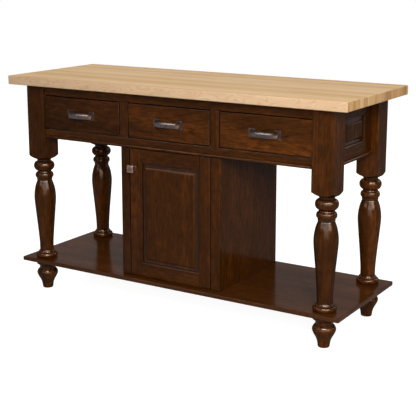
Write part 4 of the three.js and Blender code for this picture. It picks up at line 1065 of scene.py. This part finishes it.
# Floor
WHITE = (1, 1, 1, 1)
FLOOR_COLOUR = (0.3, 0.3, 0.3, 1)
FLOOR_GLOW = 0.94
FLOOR_HALF = 16.0
floor_mesh = bpy.data.meshes.new("pale_floor")
floor_mesh.from_pydata([(-FLOOR_HALF, -FLOOR_HALF, 0), (FLOOR_HALF, -FLOOR_HALF, 0),
                        (FLOOR_HALF, FLOOR_HALF, 0), (-FLOOR_HALF, FLOOR_HALF, 0)], [], [(0, 1, 2, 3)])
ground = Finish(bpy.data.materials.new("pale_floor"))
lit = ground.node("ShaderNodeBsdfDiffuse", None, {"Color": FLOOR_COLOUR})
glow = ground.node("ShaderNodeEmission", None, {"Color": WHITE, "Strength": ground.seen_ray() * FLOOR_GLOW})
ground.node("ShaderNodeOutputMaterial", None, {
    "Surface": ground.node("ShaderNodeAddShader", None, {0: lit, 1: glow})})
floor_mesh.materials.append(ground.owner)
new_object("pale_floor", floor_mesh)

# World: white where it is seen straight, white in gloss too but dimmer on the viewer's side, dim as light
AMBIENT = 0.2
BEHIND_VIEW = 0.12
BEHIND_VIEW_FROM, BEHIND_VIEW_TO = -0.35, 0.15
bpy.context.scene.world = bpy.data.worlds.new("studio")
studio = Finish(bpy.context.scene.world)
heading, = studio.split(studio.node("ShaderNodeTexCoord", output="Generated"), "Y")
backdrop = studio.clipped(heading, BEHIND_VIEW_FROM, BEHIND_VIEW_TO, BEHIND_VIEW, 1.0)
seen = studio.seen_ray()
straight, = studio.several(("Is Camera Ray",), "ShaderNodeLightPath")
sky = studio.node("ShaderNodeBackground", None, {
    "Color": WHITE, "Strength": seen * (backdrop + (1 - backdrop) * straight) + (1 - seen) * AMBIENT})
studio.node("ShaderNodeOutputWorld", None, {"Surface": sky})

# Lamps: place, what it faces, width and height, power. Softboxes light every piece and don't show in gloss,
# stain sheens show only in the gloss of the stained pieces, and the metal sheen in the gloss of every piece
SOFTBOXES = {
    "key_softbox": ((2.4, -3.0, 2.15), (0.1, 0, 0.5), (1.6, 1.6), 197),
    "high_softbox": ((-0.6, -0.6, 3.6), (0, 0, 0.6), (1.6, 1.6), 12),
    "rear_softbox": ((-2.6, 3.0, 2.3), (0, 0, 0.5), (1.8, 1.8), 105),
}
STAIN_SHEENS = {
    "wide_sheen": ((2.0, -3.0, 2.6), (0.1, 0, 0.5), (3.9, 3.2), 930),
    "right_sheen": ((3.4, -1.3, 2.6), (0.1, 0, 0.5), (1.6, 3.2), 850),
    "high_sheen": ((1.7, -2.7, 3.2), (0.1, 0, 0.5), (2.6, 0.5), 1150),
    "left_sheen": ((-1.75, -0.9, 3.4), (0, -0.2, 0.5), (3.6, 2.8), 300),
    "rear_sheen": ((1.5, 3.3, 2.5), (0.6, 0, 0.5), (2.5, 2.0), 170),
    "low_sheen": ((2.2, -3.6, 0.85), (0.1, 0, 0.5), (3.4, 1.3), 165),
}
METAL_SHEEN = ((-1.0, -3.8, 2.0), (0, -0.3, 0.8), (3.6, 0.7), 175)
SHEEN_TINT = (1.0, 0.93, 0.82)


def lamp(name, place, target, size, power):
    """Oblong lamp at a place, turned to a target."""
    light = bpy.data.lights.new(name, "AREA")
    light.shape = "RECTANGLE"
    light.size, light.size_y = size
    light.energy = power
    made = new_object(name, light)
    aim = np.array(target) - np.array(place)
    made.location = place
    made.rotation_euler = (math.atan2(math.hypot(aim[0], aim[1]), -aim[2]), 0, math.atan2(-aim[0], aim[1]))
    return made


for name, settings in SOFTBOXES.items():
    lamp(name, *settings).visible_glossy = False
for name, settings in STAIN_SHEENS.items():
    sheen = lamp(name, *settings)
    sheen.visible_diffuse = False
    sheen.data.color = SHEEN_TINT
    sheen.light_linking.receiver_collection = stained_pieces
lamp("metal_sheen", *METAL_SHEEN).visible_diffuse = False

# Camera
LENS_LENGTH = 87.83
LENS_SHIFT = -0.10
SENSOR_WIDTH = 36
CAMERA_PLACE = (2.1428, -3.3851, 1.3829)
CAMERA_DIP = 11.541
CAMERA_TURN = 31.894
NEAR, FAR = 0.1, 80
lens = bpy.data.cameras.new("view")
lens.sensor_width, lens.lens, lens.shift_y = SENSOR_WIDTH, LENS_LENGTH, LENS_SHIFT
lens.clip_start, lens.clip_end = NEAR, FAR
camera = new_object("view", lens)
camera.location = CAMERA_PLACE
camera.rotation_euler = (math.radians(90 - CAMERA_DIP), 0, math.radians(CAMERA_TURN))
bpy.context.scene.camera = camera

bpy.context.scene.view_settings.view_transform = "Standard"
